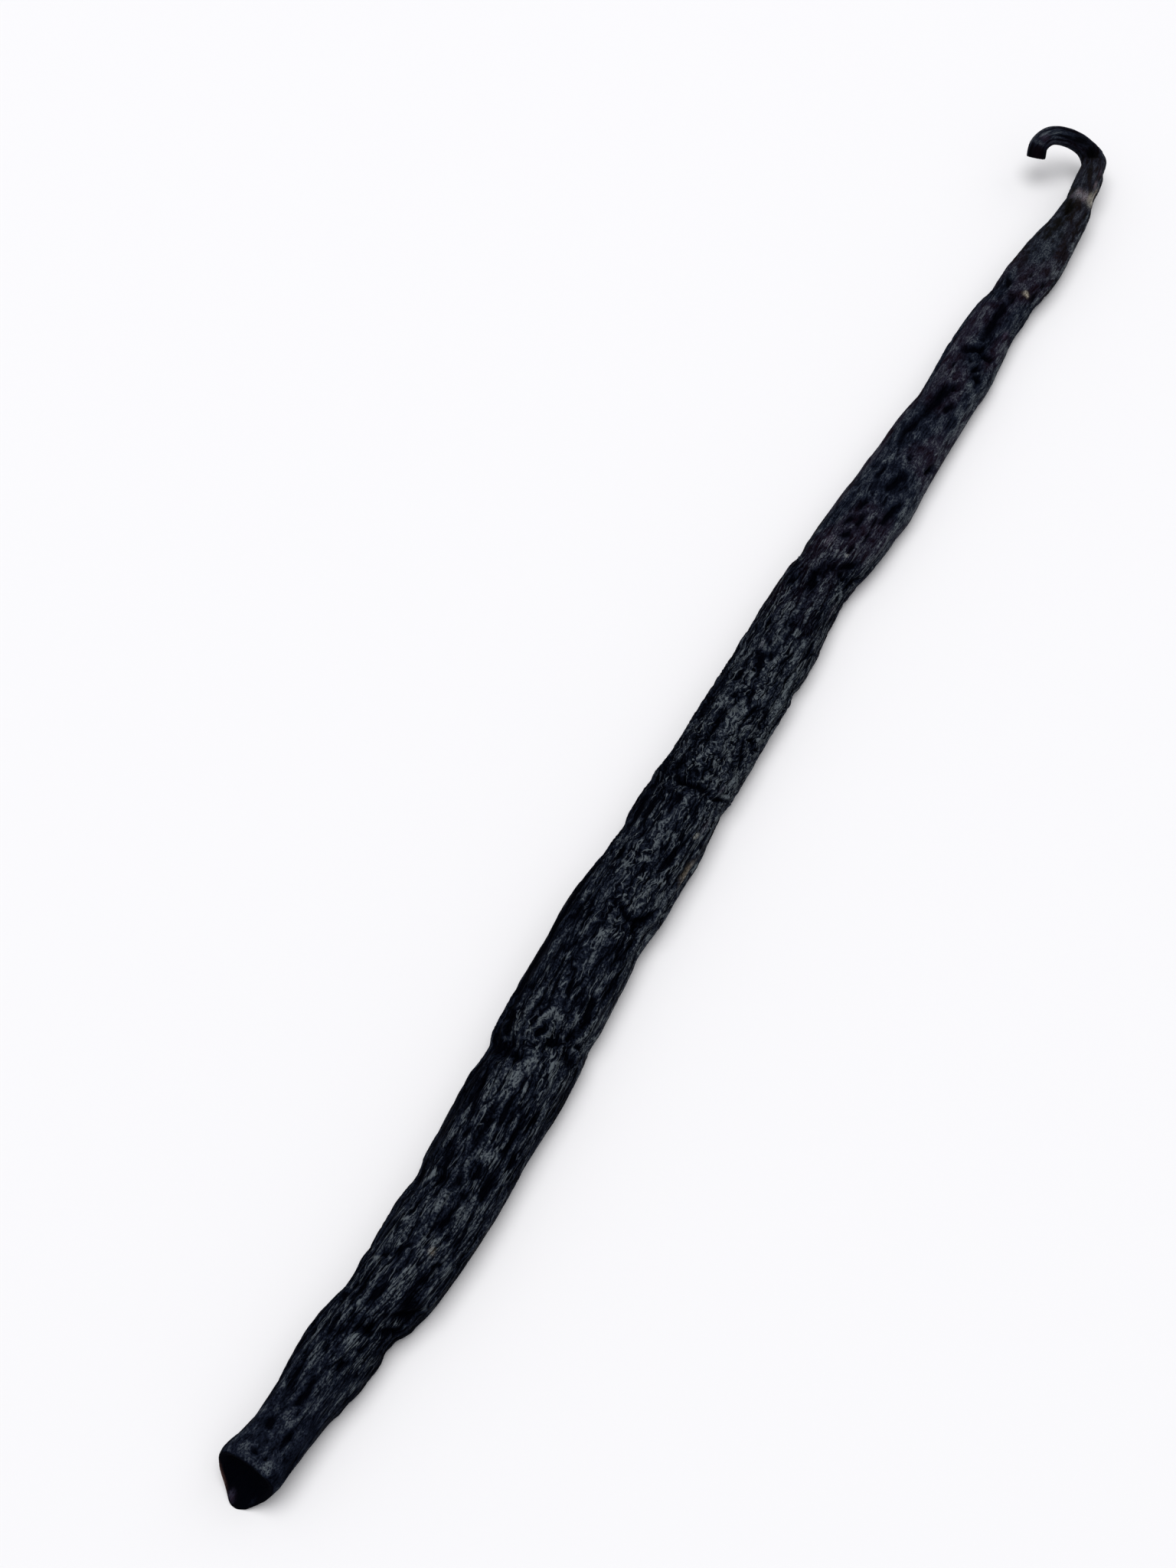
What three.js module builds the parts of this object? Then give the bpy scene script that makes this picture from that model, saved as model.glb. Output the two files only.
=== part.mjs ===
// A whole cured vanilla pod: one limp, flattened, furrowed fruit that has dried on its flatter side.
// It is blunt at the blossom end, pinched into swells along its length, and drawn out at the other
// end into a thin stem that lifts off the table and hooks over to the left.
//
// Millimetres, +Z up. The pod lies along X, blossom end at -X and stem at +X, on the plane z = 0.
// Every point of the skin is worked out from two numbers: its distance from the blossom end along
// the pod's spine, and its turn round the pod (0 is the left side, +Y, 90 the top, 180 the right).

import * as THREE from 'three'
import { mergeVertices } from 'three/addons/utils/BufferGeometryUtils.js'

// ---- Facets ----

const SIDES = 42
const RINGS = 139

const UNDERNEATH = 270      // the turn of the side that the pod lies on, in degrees

// ---- The spine: distance from the blossom end, then x, y and the gap left under the pod ----
// The gap is less than nothing where the pod lies: there its underside is pressed flat.

const SPINE = [
  { at: 0, x: 0, y: 0.3, gap: 0 },
  { at: 13, x: 13, y: -0.55, gap: -0.25 },
  { at: 26, x: 26, y: -1.75, gap: -0.25 },
  { at: 39, x: 39, y: -1.25, gap: -0.25 },
  { at: 57, x: 57, y: 0.2, gap: -0.25 },
  { at: 76, x: 76, y: 0.5, gap: -0.25 },
  { at: 88, x: 88, y: 0.6, gap: -0.25 },
  { at: 101, x: 101, y: 0.95, gap: -0.25 },
  { at: 113, x: 113, y: 0.6, gap: -0.25 },
  { at: 125, x: 125, y: 0.5, gap: -0.25 },
  { at: 141, x: 141, y: 0.65, gap: -0.25 },
  { at: 151, x: 151, y: 0.2, gap: 0 },
  { at: 158.3, x: 158.3, y: -0.1, gap: 0.5 },
  { at: 162.8, x: 162.8, y: -0.15, gap: 1.15 },
  { at: 166.7, x: 166.7, y: 0.2, gap: 1.6 },
  { at: 169.9, x: 169.9, y: 0.9, gap: 1.95 },
  { at: 172, x: 171.2, y: 2.5, gap: 2.5 },
  { at: 174.6, x: 170.6, y: 4.7, gap: 3.65 },
  { at: 176.8, x: 169.2, y: 6.4, gap: 4.2 },
  { at: 178.4, x: 168.1, y: 7.1, gap: 3.4 },
  { at: 179.8, x: 167.3, y: 6.9, gap: 2.3 }
]
const SPINE_LENGTH = SPINE[SPINE.length - 1].at

// ---- The girth: width across and thickness, before furrows and pinches ----

const GIRTH = [
  { at: 0, width: 5.4, thickness: 4.0 },
  { at: 5, width: 5.6, thickness: 4.0 },
  { at: 13, width: 6.7, thickness: 4.4 },
  { at: 25, width: 7.8, thickness: 4.8 },
  { at: 46, width: 8.6, thickness: 5.0 },
  { at: 61, width: 8.45, thickness: 4.9 },
  { at: 76, width: 7.7, thickness: 4.7 },
  { at: 88, width: 7.3, thickness: 4.5 },
  { at: 100, width: 7.3, thickness: 4.4 },
  { at: 113, width: 7.3, thickness: 4.3 },
  { at: 125, width: 6.6, thickness: 4.1 },
  { at: 140, width: 6.1, thickness: 3.8 },
  { at: 152, width: 5.35, thickness: 3.5 },
  { at: 158.3, width: 4.5, thickness: 3.1 },
  { at: 163.9, width: 3.6, thickness: 2.6 },
  { at: 169.5, width: 2.7, thickness: 2.2 },
  { at: 172.5, width: 2.1, thickness: 1.9 },
  { at: 179.8, width: 2.1, thickness: 1.9 }
]

// The section is an oval with slightly squared shoulders: 1 would be an ellipse, 0 a box.
const SHOULDER = 0.86

// ---- Pinches, notches and folds ----
// Each pulls the skin in by `depth` where it crosses `turn` at `at`, fades over `before` towards the
// blossom end and `after` towards the stem, spans `spread` degrees either way round the pod, and
// slants by `slant` mm along the pod for each 90 degrees of turn. A negative depth is a swell.

const PINCHES = [
  { at: 3.2, turn: 5, spread: 60, depth: 0.45, before: 2.4, after: 2.4, slant: 0 },
  { at: 7, turn: 10, spread: 70, depth: 0.55, before: 4, after: 4, slant: 0 },
  { at: 7.6, turn: 180, spread: 50, depth: 0.12, before: 2, after: 1.6, slant: 0 },
  { at: 10.5, turn: 180, spread: 50, depth: -0.1, before: 1.2, after: 2, slant: 0 },
  { at: 0, turn: 235, spread: 30, depth: -0.35, before: 3, after: 4, slant: 0 },
  { at: 16.3, turn: 185, spread: 45, depth: 0.6, before: 2.2, after: 0.9, slant: 0 },
  { at: 17.2, turn: 130, spread: 38, depth: 0.75, before: 1.1, after: 0.8, slant: 4.5 },
  { at: 18.3, turn: 5, spread: 55, depth: 0.7, before: 3, after: 4.5, slant: 0 },
  { at: 20.2, turn: 5, spread: 50, depth: -0.18, before: 0.9, after: 0.9, slant: 0 },
  { at: 20, turn: 180, spread: 60, depth: -0.32, before: 1.4, after: 4, slant: 2 },
  { at: 29, turn: 15, spread: 55, depth: 0.4, before: 1.5, after: 1.4, slant: -1 },
  { at: 35, turn: 180, spread: 60, depth: 0.25, before: 4, after: 4, slant: 0 },
  { at: 42.8, turn: 20, spread: 60, depth: 0.45, before: 2, after: 1, slant: 1.5 },
  { at: 46, turn: 140, spread: 50, depth: 0.5, before: 1.2, after: 1.2, slant: 1.5 },
  { at: 54, turn: 0, spread: 60, depth: 0.2, before: 3, after: 3, slant: 0 },
  { at: 57, turn: 180, spread: 45, depth: 0.3, before: 1.5, after: 1.5, slant: 0 },
  { at: 59, turn: 135, spread: 45, depth: 0.5, before: 1.1, after: 1, slant: 0 },
  { at: 65.5, turn: 0, spread: 60, depth: 0.6, before: 4, after: 6, slant: 0 },
  { at: 64, turn: 180, spread: 60, depth: -0.2, before: 4, after: 4, slant: 0 },
  { at: 69, turn: 180, spread: 50, depth: -0.3, before: 2, after: 2.5, slant: 0 },
  { at: 68.3, turn: 0, spread: 55, depth: 0.3, before: 1.5, after: 0.9, slant: 0 },
  { at: 72.4, turn: 0, spread: 55, depth: 0.12, before: 1, after: 1, slant: 0 },
  { at: 74.2, turn: 95, spread: 85, depth: 0.5, before: 0.8, after: 0.9, slant: 0.3 },
  { at: 77.2, turn: 0, spread: 50, depth: 0.3, before: 1.2, after: 4, slant: 0 },
  { at: 82, turn: 110, spread: 50, depth: 0.3, before: 1.6, after: 1.6, slant: 1.5 },
  { at: 90, turn: 180, spread: 40, depth: 0.3, before: 0.8, after: 0.8, slant: 0 },
  { at: 91, turn: 40, spread: 40, depth: 0.2, before: 1.6, after: 1.6, slant: -1 },
  { at: 99, turn: 82, spread: 16, depth: 0.45, before: 3, after: 3, slant: 0 },
  { at: 102.3, turn: 175, spread: 75, depth: 0.85, before: 5, after: 4.5, slant: 0.6 },
  { at: 104.6, turn: 5, spread: 45, depth: 0.3, before: 1, after: 1.6, slant: 0 },
  { at: 115.3, turn: 180, spread: 50, depth: -0.2, before: 2, after: 2.5, slant: 0 },
  { at: 117, turn: 20, spread: 60, depth: 0.15, before: 2, after: 2, slant: 1 },
  { at: 121.5, turn: 5, spread: 60, depth: 0.15, before: 2, after: 2, slant: 0 },
  { at: 130.5, turn: 5, spread: 60, depth: 0.55, before: 3, after: 8.5, slant: 0 },
  { at: 135, turn: 180, spread: 50, depth: -0.25, before: 3, after: 3, slant: 0 },
  { at: 137.2, turn: 115, spread: 45, depth: 0.45, before: 1.2, after: 1, slant: 0.6 },
  { at: 144.5, turn: 180, spread: 60, depth: 0.5, before: 4, after: 5.5, slant: 0 },
  { at: 147.4, turn: 5, spread: 60, depth: 0.35, before: 1.6, after: 2, slant: 0 },
  { at: 148, turn: 180, spread: 50, depth: 0.2, before: 1.5, after: 2, slant: 0 },
  { at: 154.1, turn: 180, spread: 60, depth: -0.2, before: 3, after: 3, slant: 0 },
  { at: 161.7, turn: 0, spread: 60, depth: 0.4, before: 4.5, after: 3.5, slant: 0 },
  { at: 163.6, turn: 100, spread: 200, depth: 0.15, before: 0.8, after: 1.4, slant: 0 },
  { at: 165, turn: 180, spread: 55, depth: 0.35, before: 1.3, after: 1.5, slant: 0 },
  { at: 168.6, turn: 180, spread: 40, depth: 0.22, before: 0.5, after: 0.6, slant: 0 },
  { at: 170.4, turn: 180, spread: 40, depth: -0.15, before: 0.8, after: 0.8, slant: 0 }
]

// ---- Lengthwise furrows ----

const FURROWS = 13          // ridges round the pod
const FURROW_DEPTH = 0.42   // crest to valley along the thick of the pod
const SMOOTH_DEPTH = 0.22   // and towards the stem, where the skin is tauter
const STEM_DEPTH = 0.14     // and on the stem itself
const PRESSED_DEPTH = 0.3   // the share of that depth left underneath, where the pod is pressed
const PRESSED_SPREAD = 40   // degrees either way that are pressed
const FURROW_WANDER = 13    // how far along the pod a furrow runs before it bends aside

// ---- Blossom end: a slanting, sunken scar inside a thin rim ----

const SCAR_SLANT = 0.62     // the face leans back, mm along the pod for each mm of height
const SLANT_RUN = 9         // the lean dies out this far along the pod
const LIP = 0.6             // the lowest corner of the face stands this far forward
const LIP_SPREAD = 40       // degrees either way that the corner takes up
const LIP_RUN = 4           // and dies out this far along the pod
const KEEL = 0.5            // the end is three-cornered: this share wider above, narrower below
const KEEL_RUN = 16         // and turns oval this far along the pod
const SCAR_RINGS = [
  { size: 0, sink: 1.3 },
  { size: 0.4, sink: 1.2 },
  { size: 0.62, sink: 0.9 },
  { size: 0.78, sink: 0.2 },
  { size: 0.9, sink: 0 }
]
const RIM_ROUNDING = 0.5    // length over which the rim swells out to the full girth

// ---- Cut end of the stem ----

const CUT_RINGS = [
  { size: 0.92, sink: 0 },
  { size: 0.6, sink: 0.12 },
  { size: 0, sink: 0.22 }
]

// ---- Smooth curves through the stations ----

// The station just before a distance, and how far beyond it the distance lies, from 0 to 1.
function stretchAt(stations, distance) {
  let first = 0
  while (first < stations.length - 2 && stations[first + 1].at < distance) {
    first += 1
  }
  const length = stations[first + 1].at - stations[first].at
  return { first, length, share: (distance - stations[first].at) / length }
}

// The slope of one quantity at a station, the mean of the slopes on either side of it.
function slopeAt(stations, index, key) {
  const slopes = []
  for (const start of [index - 1, index]) {
    if (start >= 0 && start < stations.length - 1) {
      const rise = stations[start + 1][key] - stations[start][key]
      slopes.push(rise / (stations[start + 1].at - stations[start].at))
    }
  }
  return slopes.reduce((total, slope) => total + slope, 0) / slopes.length
}

// One quantity at any distance, on the smooth curve through the stations.
function through(stations, key, distance) {
  const { first, length, share } = stretchAt(stations, distance)
  const start = stations[first][key]
  const end = stations[first + 1][key]
  const leave = slopeAt(stations, first, key) * length
  const arrive = slopeAt(stations, first + 1, key) * length
  const bend = 3 * (end - start) - 2 * leave - arrive
  const twist = 2 * (start - end) + leave + arrive
  return start + share * (leave + share * (bend + share * twist))
}

function spinePoint(distance) {
  const middle = through(SPINE, 'gap', distance) + through(GIRTH, 'thickness', distance) / 2
  return new THREE.Vector3(through(SPINE, 'x', distance), through(SPINE, 'y', distance), middle)
}

// ---- Relief of the skin, in mm outwards ----

// A turn brought into the half circle either side of zero, in degrees.
function halfTurn(degrees) {
  return degrees - 360 * Math.round(degrees / 360)
}

function bell(offset, reach) {
  return Math.exp(-((offset / reach) ** 2))
}

function pinchRelief(distance, turn) {
  let relief = 0
  for (const pinch of PINCHES) {
    const round = halfTurn(turn - pinch.turn)
    const along = distance - pinch.at - pinch.slant * round / 90
    const reach = along < 0 ? pinch.before : pinch.after
    relief -= pinch.depth * bell(along, reach) * bell(round, pinch.spread)
  }
  return relief
}

// Rounded ridges with sharp valleys between them, which wander along the pod and come and go.
function furrowRelief(distance, turn) {
  const round = THREE.MathUtils.degToRad(turn)
  const along = distance / FURROW_WANDER
  const wander = 0.9 * Math.sin(along + 2 * round) + 0.7 * Math.sin(2.3 * along - round + 1)
  const ridge = Math.abs(Math.sin(FURROWS * round / 2 + wander)) - 2 / Math.PI
  const fade = 0.68 + 0.32 * Math.sin(3.7 * along + 3 * round)
  const pressed = 1 - (1 - PRESSED_DEPTH) * bell(halfTurn(turn - UNDERNEATH), PRESSED_SPREAD)
  return furrowDepth(distance) * pressed * fade * ridge
}

function furrowDepth(distance) {
  const upper = THREE.MathUtils.smoothstep(distance, 95, 120)
  const stem = THREE.MathUtils.smoothstep(distance, 158, 170)
  const body = THREE.MathUtils.lerp(FURROW_DEPTH, SMOOTH_DEPTH, upper)
  const depth = THREE.MathUtils.lerp(body, STEM_DEPTH, stem)
  return depth * THREE.MathUtils.smoothstep(distance, -1, 6)
}

// ---- Rings ----

// Rings lie closer together across a sharp pinch and along the hooked stem.
function crowding(distance) {
  let crowd = 1 + 0.9 * THREE.MathUtils.smoothstep(distance, 158, 168)
  for (const pinch of PINCHES) {
    const reach = Math.min(pinch.before, pinch.after)
    crowd += Math.abs(pinch.depth) / reach * 1.8 * bell(distance - pinch.at, 2.2)
  }
  return crowd
}

// Distances from the start to the end of the skin, evenly spread but for the crowding.
function spreadRings(count, start, end) {
  const steps = 4000
  const reached = [0]
  for (let step = 1; step <= steps; step += 1) {
    const middle = start + (end - start) * (step - 0.5) / steps
    reached.push(reached[step - 1] + crowding(middle))
  }
  const places = []
  let step = 0
  for (let ring = 0; ring < count; ring += 1) {
    const wanted = reached[steps] * ring / (count - 1)
    while (step < steps && reached[step] < wanted) {
      step += 1
    }
    places.push(start + (end - start) * step / steps)
  }
  return places
}

// Every ring from the middle of the scar, along the skin, to the middle of the stem's cut.
function allRings() {
  const scar = SCAR_RINGS.map(({ size, sink }) => ({ distance: sink, size }))
  const cut = CUT_RINGS.map(({ size, sink }) => ({ distance: SPINE_LENGTH - sink, size }))
  const count = RINGS + 1 - scar.length - cut.length
  const skin = spreadRings(count, 0.15, SPINE_LENGTH - 0.15)
  const sized = skin.map(distance => ({ distance, size: 1 - 0.06 * bell(distance, RIM_ROUNDING) }))
  return [...scar, ...sized, ...cut]
}

// Each ring's middle and the directions to its side and its top, carried along without twisting.
function ringFrames(rings) {
  const nudge = 0.05
  let side = new THREE.Vector3(0, 1, 0)
  return rings.map(({ distance }) => {
    const behind = spinePoint(Math.max(distance - nudge, 0))
    const ahead = spinePoint(Math.min(distance + nudge, SPINE_LENGTH))
    const forward = ahead.sub(behind).normalize()
    side = side.clone().addScaledVector(forward, -side.dot(forward)).normalize()
    const top = new THREE.Vector3().crossVectors(forward, side)
    return { middle: spinePoint(distance), forward, side, top }
  })
}

// ---- The skin ----

function rounded(value) {
  return Math.sign(value) * Math.abs(value) ** SHOULDER
}

// What the blossom end starts with and loses along the pod, from 1 down to 0.
function fading(distance, run) {
  return Math.max(1 - distance / run, 0) ** 2
}

// A point of the skin: out from the spine by the oval, then in or out by the relief.
function skinPoint(ring, frame, turn) {
  const { distance, size } = ring
  const width = through(GIRTH, 'width', distance) / 2
  const height = through(GIRTH, 'thickness', distance) / 2
  const cosine = Math.cos(THREE.MathUtils.degToRad(turn))
  const sine = Math.sin(THREE.MathUtils.degToRad(turn))
  const outward = new THREE.Vector2(cosine / width, sine / height).normalize()
  const relief = furrowRelief(distance, turn) + pinchRelief(distance, turn)
  const keel = 1 + KEEL * fading(distance, KEEL_RUN) * sine
  const left = size * (keel * width * rounded(cosine) + relief * outward.x)
  const up = size * (height * rounded(sine) + relief * outward.y)
  const lip = LIP * size * fading(distance, LIP_RUN) * bell(halfTurn(turn - UNDERNEATH), LIP_SPREAD)
  const along = SCAR_SLANT * fading(distance, SLANT_RUN) * up - lip
  const point = frame.middle.clone().addScaledVector(frame.side, left)
  point.addScaledVector(frame.top, up).addScaledVector(frame.forward, along)
  point.z = Math.max(point.z, 0)
  return point
}

// The sphere gives closed triangles in rings; each ring is then moved to its place on the pod.
function podGeometry() {
  const ball = new THREE.SphereGeometry(1, SIDES, RINGS)
  ball.deleteAttribute('normal')
  ball.deleteAttribute('uv')
  const geometry = mergeVertices(ball)
  const rings = allRings()
  const frames = ringFrames(rings)
  const position = geometry.attributes.position
  const vertex = new THREE.Vector3()
  for (let index = 0; index < position.count; index += 1) {
    vertex.fromBufferAttribute(position, index)
    const ring = Math.round(Math.acos(THREE.MathUtils.clamp(vertex.y, -1, 1)) / Math.PI * RINGS)
    const turn = THREE.MathUtils.radToDeg(Math.atan2(vertex.z, vertex.x))
    const point = skinPoint(rings[ring], frames[ring], turn)
    position.setXYZ(index, point.x, point.y, point.z)
  }
  geometry.computeBoundingBox()
  const middle = geometry.boundingBox.getCenter(new THREE.Vector3())
  geometry.translate(-middle.x, -middle.y, -geometry.boundingBox.min.z)
  geometry.computeVertexNormals()
  return geometry
}

// ---- The part ----

const skin = new THREE.MeshStandardMaterial({ color: '#1c1c20', roughness: 0.45, metalness: 0 })
const pod = new THREE.Mesh(podGeometry(), skin)
pod.name = 'pod'

const group = new THREE.Group()
group.add(pod)

export default group
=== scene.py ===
# %% [markdown]
# # A whole cured vanilla pod
#
# A cured vanilla pod is a long, limp, flattened fruit that has sweated and dried until it is almost black.
# Its skin has shrunk more slowly than the pulp inside, so it lies in ridges and furrows along the pod, and
# it is crumpled across wherever the pod was bent while it was soft. A film of oil gives it a dull, cool
# sheen.
#
# One pod is one skin, so this lesson makes one mesh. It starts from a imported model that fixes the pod's
# size and place, and lays a much finer skin over the same form.

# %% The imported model
import math

import bpy
import numpy as np
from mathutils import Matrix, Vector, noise


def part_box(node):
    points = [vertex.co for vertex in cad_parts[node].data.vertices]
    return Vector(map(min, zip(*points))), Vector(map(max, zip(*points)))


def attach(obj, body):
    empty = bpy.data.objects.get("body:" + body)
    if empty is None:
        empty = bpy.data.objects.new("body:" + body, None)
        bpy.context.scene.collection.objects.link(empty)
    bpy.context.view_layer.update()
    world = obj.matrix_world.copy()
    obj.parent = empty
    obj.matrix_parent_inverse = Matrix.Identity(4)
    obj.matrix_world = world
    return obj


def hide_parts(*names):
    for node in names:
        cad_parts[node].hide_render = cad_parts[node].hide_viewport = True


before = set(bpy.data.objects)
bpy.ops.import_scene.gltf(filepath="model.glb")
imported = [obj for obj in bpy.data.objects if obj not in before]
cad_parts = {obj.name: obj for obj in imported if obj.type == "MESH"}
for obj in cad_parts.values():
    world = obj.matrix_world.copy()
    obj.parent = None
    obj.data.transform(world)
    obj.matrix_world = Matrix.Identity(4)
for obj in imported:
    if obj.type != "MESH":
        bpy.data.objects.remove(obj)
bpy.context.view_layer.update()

MM = 0.001                 # metres in a millimetre
pod_low, pod_high = (np.array(corner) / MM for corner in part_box("pod"))
print("nodes:", list(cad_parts))
print("the pod's box, mm:", (pod_high - pod_low).round(2))

# %% [markdown]
# ## Camera
#
# The pod lies on a table and the camera looks down on it from the blossom end, 30 degrees off the plumb
# line. A camera could be aimed by a Track To constraint, but two turns are plainer: first a tilt about its
# own X axis, from looking straight down, then a heading about Z. The picture stands upright, so Blender
# fits the lens to its height.

# %% Camera
CAMERA_TILT = 30.0         # degrees off straight down
CAMERA_HEADING = -59.49    # degrees, so that the pod runs from the bottom left to the top right
CAMERA_PLACE = (-106.46, -46.04, 187.0)    # mm
LENS = 50.98               # mm, with Blender's own 36 mm sensor along the picture's height
NEAREST, FARTHEST = 0.01, 20               # metres between which it sees


def make_camera():
    lens = bpy.data.cameras.new("camera")
    lens.lens = LENS
    lens.clip_start = NEAREST
    lens.clip_end = FARTHEST
    camera = bpy.data.objects.new("camera", lens)
    camera.location = np.array(CAMERA_PLACE) * MM
    camera.rotation_euler = (math.radians(CAMERA_TILT), 0, math.radians(CAMERA_HEADING))
    bpy.context.collection.objects.link(camera)
    bpy.context.scene.camera = camera
    return camera


camera = make_camera()
print("the camera stands", round(camera.location.z / MM), "mm above the table")

# %% [markdown]
# ## Table and light
#
# The pod lies on a plain white surface in soft, even light. A broad panel overhead gives most of it, a
# weaker one stands off to the right beyond the stem, and a dim sky fills the furrows a little. One small
# lamp would be simpler, but it would throw a hard shadow and leave half of so dark a skin without any
# form.

# %% Table
TABLE_SIZE = 3.0           # metres
TABLE_COLOUR = (0.865, 0.862, 0.875)
TABLE_ROUGHNESS = 0.9
TABLE_GLOSS = 0.1


def make_table():
    half = TABLE_SIZE / 2
    corners = [(-half, -half, 0), (half, -half, 0), (half, half, 0), (-half, half, 0)]
    mesh = bpy.data.meshes.new("table")
    mesh.from_pydata(corners, [], [(0, 1, 2, 3)])
    table = bpy.data.objects.new("table", mesh)
    bpy.context.collection.objects.link(table)
    white = bpy.data.materials.new("white_table")
    white.use_nodes = True
    shader = white.node_tree.nodes["Principled BSDF"]
    shader.inputs["Base Color"].default_value = (*TABLE_COLOUR, 1)
    shader.inputs["Roughness"].default_value = TABLE_ROUGHNESS
    shader.inputs["Specular IOR Level"].default_value = TABLE_GLOSS
    mesh.materials.append(white)
    return table


make_table()
print("the table is", TABLE_SIZE, "m square")

# %% Lights
# Name, direction from the pod, metres away, metres across, watts.
PANELS = [
    ("overhead", (0.0, 0.12, 1.0), 1.6, 1.5, 17.8),
    ("side", (0.65, -0.31, 0.5), 1.6, 1.2, 2.8)]
SKY_COLOUR = (0.98, 0.98, 1.0)
SKY_STRENGTH = 0.5


def make_panel(name, direction, away, across, watts):
    light = bpy.data.lights.new(name, "AREA")
    light.shape = "DISK"
    light.size = across
    light.energy = watts
    panel = bpy.data.objects.new(name, light)
    panel.location = np.array(direction) / np.linalg.norm(direction) * away
    panel.rotation_mode = "QUATERNION"
    panel.rotation_quaternion = panel.location.to_track_quat("Z", "Y")
    bpy.context.collection.objects.link(panel)


def make_sky():
    sky = bpy.data.worlds.new("sky")
    sky.use_nodes = True
    glow = sky.node_tree.nodes["Background"]
    glow.inputs["Color"].default_value = (*SKY_COLOUR, 1)
    glow.inputs["Strength"].default_value = SKY_STRENGTH
    bpy.context.scene.world = sky


for panel in PANELS:
    make_panel(*panel)
make_sky()
bpy.context.scene.view_settings.view_transform = "Standard"
print(len(PANELS), "panels and a sky")

# %% [markdown]
# ## The pod's form
#
# The form is a long oval tube along a gently wandering spine. It could be sculpted, or lofted from a few
# curves with a bevel, but both would be hard to give relief that follows the skin. So every point of the
# skin is worked out from two numbers: its distance along the spine from the blossom end, and its turn
# round the pod, where 0 is the left side, 90 the top and 180 the right. A few stations say where the spine
# runs and how wide and thick the pod is, and a smooth curve goes through them. numpy works on all the
# points at once.

# %% Stations
# Distance from the blossom end, then x, y and the gap under the pod, in mm. Where the gap is less than
# nothing the pod lies on the table and is pressed flat.
SPINE = np.array([
    (0, 0, 0.3, 0), (13, 13, -0.55, -0.25), (26, 26, -1.75, -0.25), (39, 39, -1.25, -0.25),
    (57, 57, 0.2, -0.25), (76, 76, 0.5, -0.25), (88, 88, 0.6, -0.25), (101, 101, 0.95, -0.25),
    (113, 113, 0.6, -0.25), (125, 125, 0.5, -0.25), (141, 141, 0.65, -0.25), (151, 151, 0.2, 0),
    (158.3, 158.3, -0.1, 0.5), (162.8, 162.8, -0.15, 1.15), (166.7, 166.7, 0.2, 1.6),
    (169.9, 169.9, 0.9, 1.95), (172, 171.2, 2.5, 2.5), (174.6, 170.6, 4.7, 3.65), (176.8, 169.2, 6.4, 4.2),
    (178.4, 168.1, 7.1, 3.4), (179.8, 167.3, 6.9, 2.3)])
SPINE_X, SPINE_Y, SPINE_GAP = 1, 2, 3
SPINE_LENGTH = SPINE[-1, 0]

# Distance, then width and thickness.
GIRTH = np.array([
    (0, 5.4, 4.0), (5, 5.6, 4.0), (13, 6.7, 4.4), (25, 7.8, 4.8), (46, 8.6, 5.0), (61, 8.45, 4.9),
    (76, 7.7, 4.7), (88, 7.3, 4.5), (100, 7.3, 4.4), (113, 7.3, 4.3), (125, 6.6, 4.1), (140, 6.1, 3.8),
    (152, 5.35, 3.5), (158.3, 4.5, 3.1), (163.9, 3.6, 2.6), (169.5, 2.7, 2.2), (172.5, 2.1, 1.9),
    (179.8, 2.1, 1.9)])
WIDTH, THICKNESS = 1, 2
SHOULDER = 0.86            # the oval's shoulders are slightly squared: 1 is an ellipse
print("the spine is", SPINE_LENGTH, "mm long")


def through(stations, column, distance):
    """One column of the stations at any distance, on a smooth curve through them."""
    at, value = stations[:, 0], stations[:, column]
    secant = np.diff(value) / np.diff(at)
    slope = np.concatenate([secant[:1], (secant[1:] + secant[:-1]) / 2, secant[-1:]])
    first = np.clip(np.searchsorted(at, distance) - 1, 0, len(at) - 2)
    length = at[first + 1] - at[first]
    share = (distance - at[first]) / length
    rise = value[first + 1] - value[first]
    leave = slope[first] * length
    arrive = slope[first + 1] * length
    bend = 3 * rise - 2 * leave - arrive
    twist = leave + arrive - 2 * rise
    return value[first] + share * (leave + share * (bend + share * twist))


def spine_points(distance):
    middle = through(SPINE, SPINE_GAP, distance) + through(GIRTH, THICKNESS, distance) / 2
    return np.stack([through(SPINE, SPINE_X, distance), through(SPINE, SPINE_Y, distance), middle], axis=-1)


# %% Frames along the spine
NUDGE = 0.05               # mm before and after a ring, to find which way the spine runs there


def unit(vector):
    return vector / np.linalg.norm(vector)


def carried_frames(distance):
    """Each ring's forward, side and top, carried along the spine without twisting."""
    behind = spine_points(np.maximum(distance - NUDGE, 0))
    ahead = spine_points(np.minimum(distance + NUDGE, SPINE_LENGTH))
    side = np.array([0.0, 1.0, 0.0])
    frames = []
    for direction in ahead - behind:
        forward = unit(direction)
        side = unit(side - forward * side.dot(forward))
        frames.append((forward, side, np.cross(forward, side)))
    return np.array(frames)


print("the stem's tip points along", carried_frames(np.array([SPINE_LENGTH]))[0, 0].round(2))


# %% [markdown]
# ## Swells, notches and furrows
#
# A pod is tied in bundles and pressed as it cures, so it is never a plain tube. Each pinch is written down
# with its place, and pulls the skin in under a bell-shaped curve. The main furrows come from one formula,
# the absolute value of a sine, because its arches are round above and meet in sharp valleys, as shrunken
# skin does.

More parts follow.
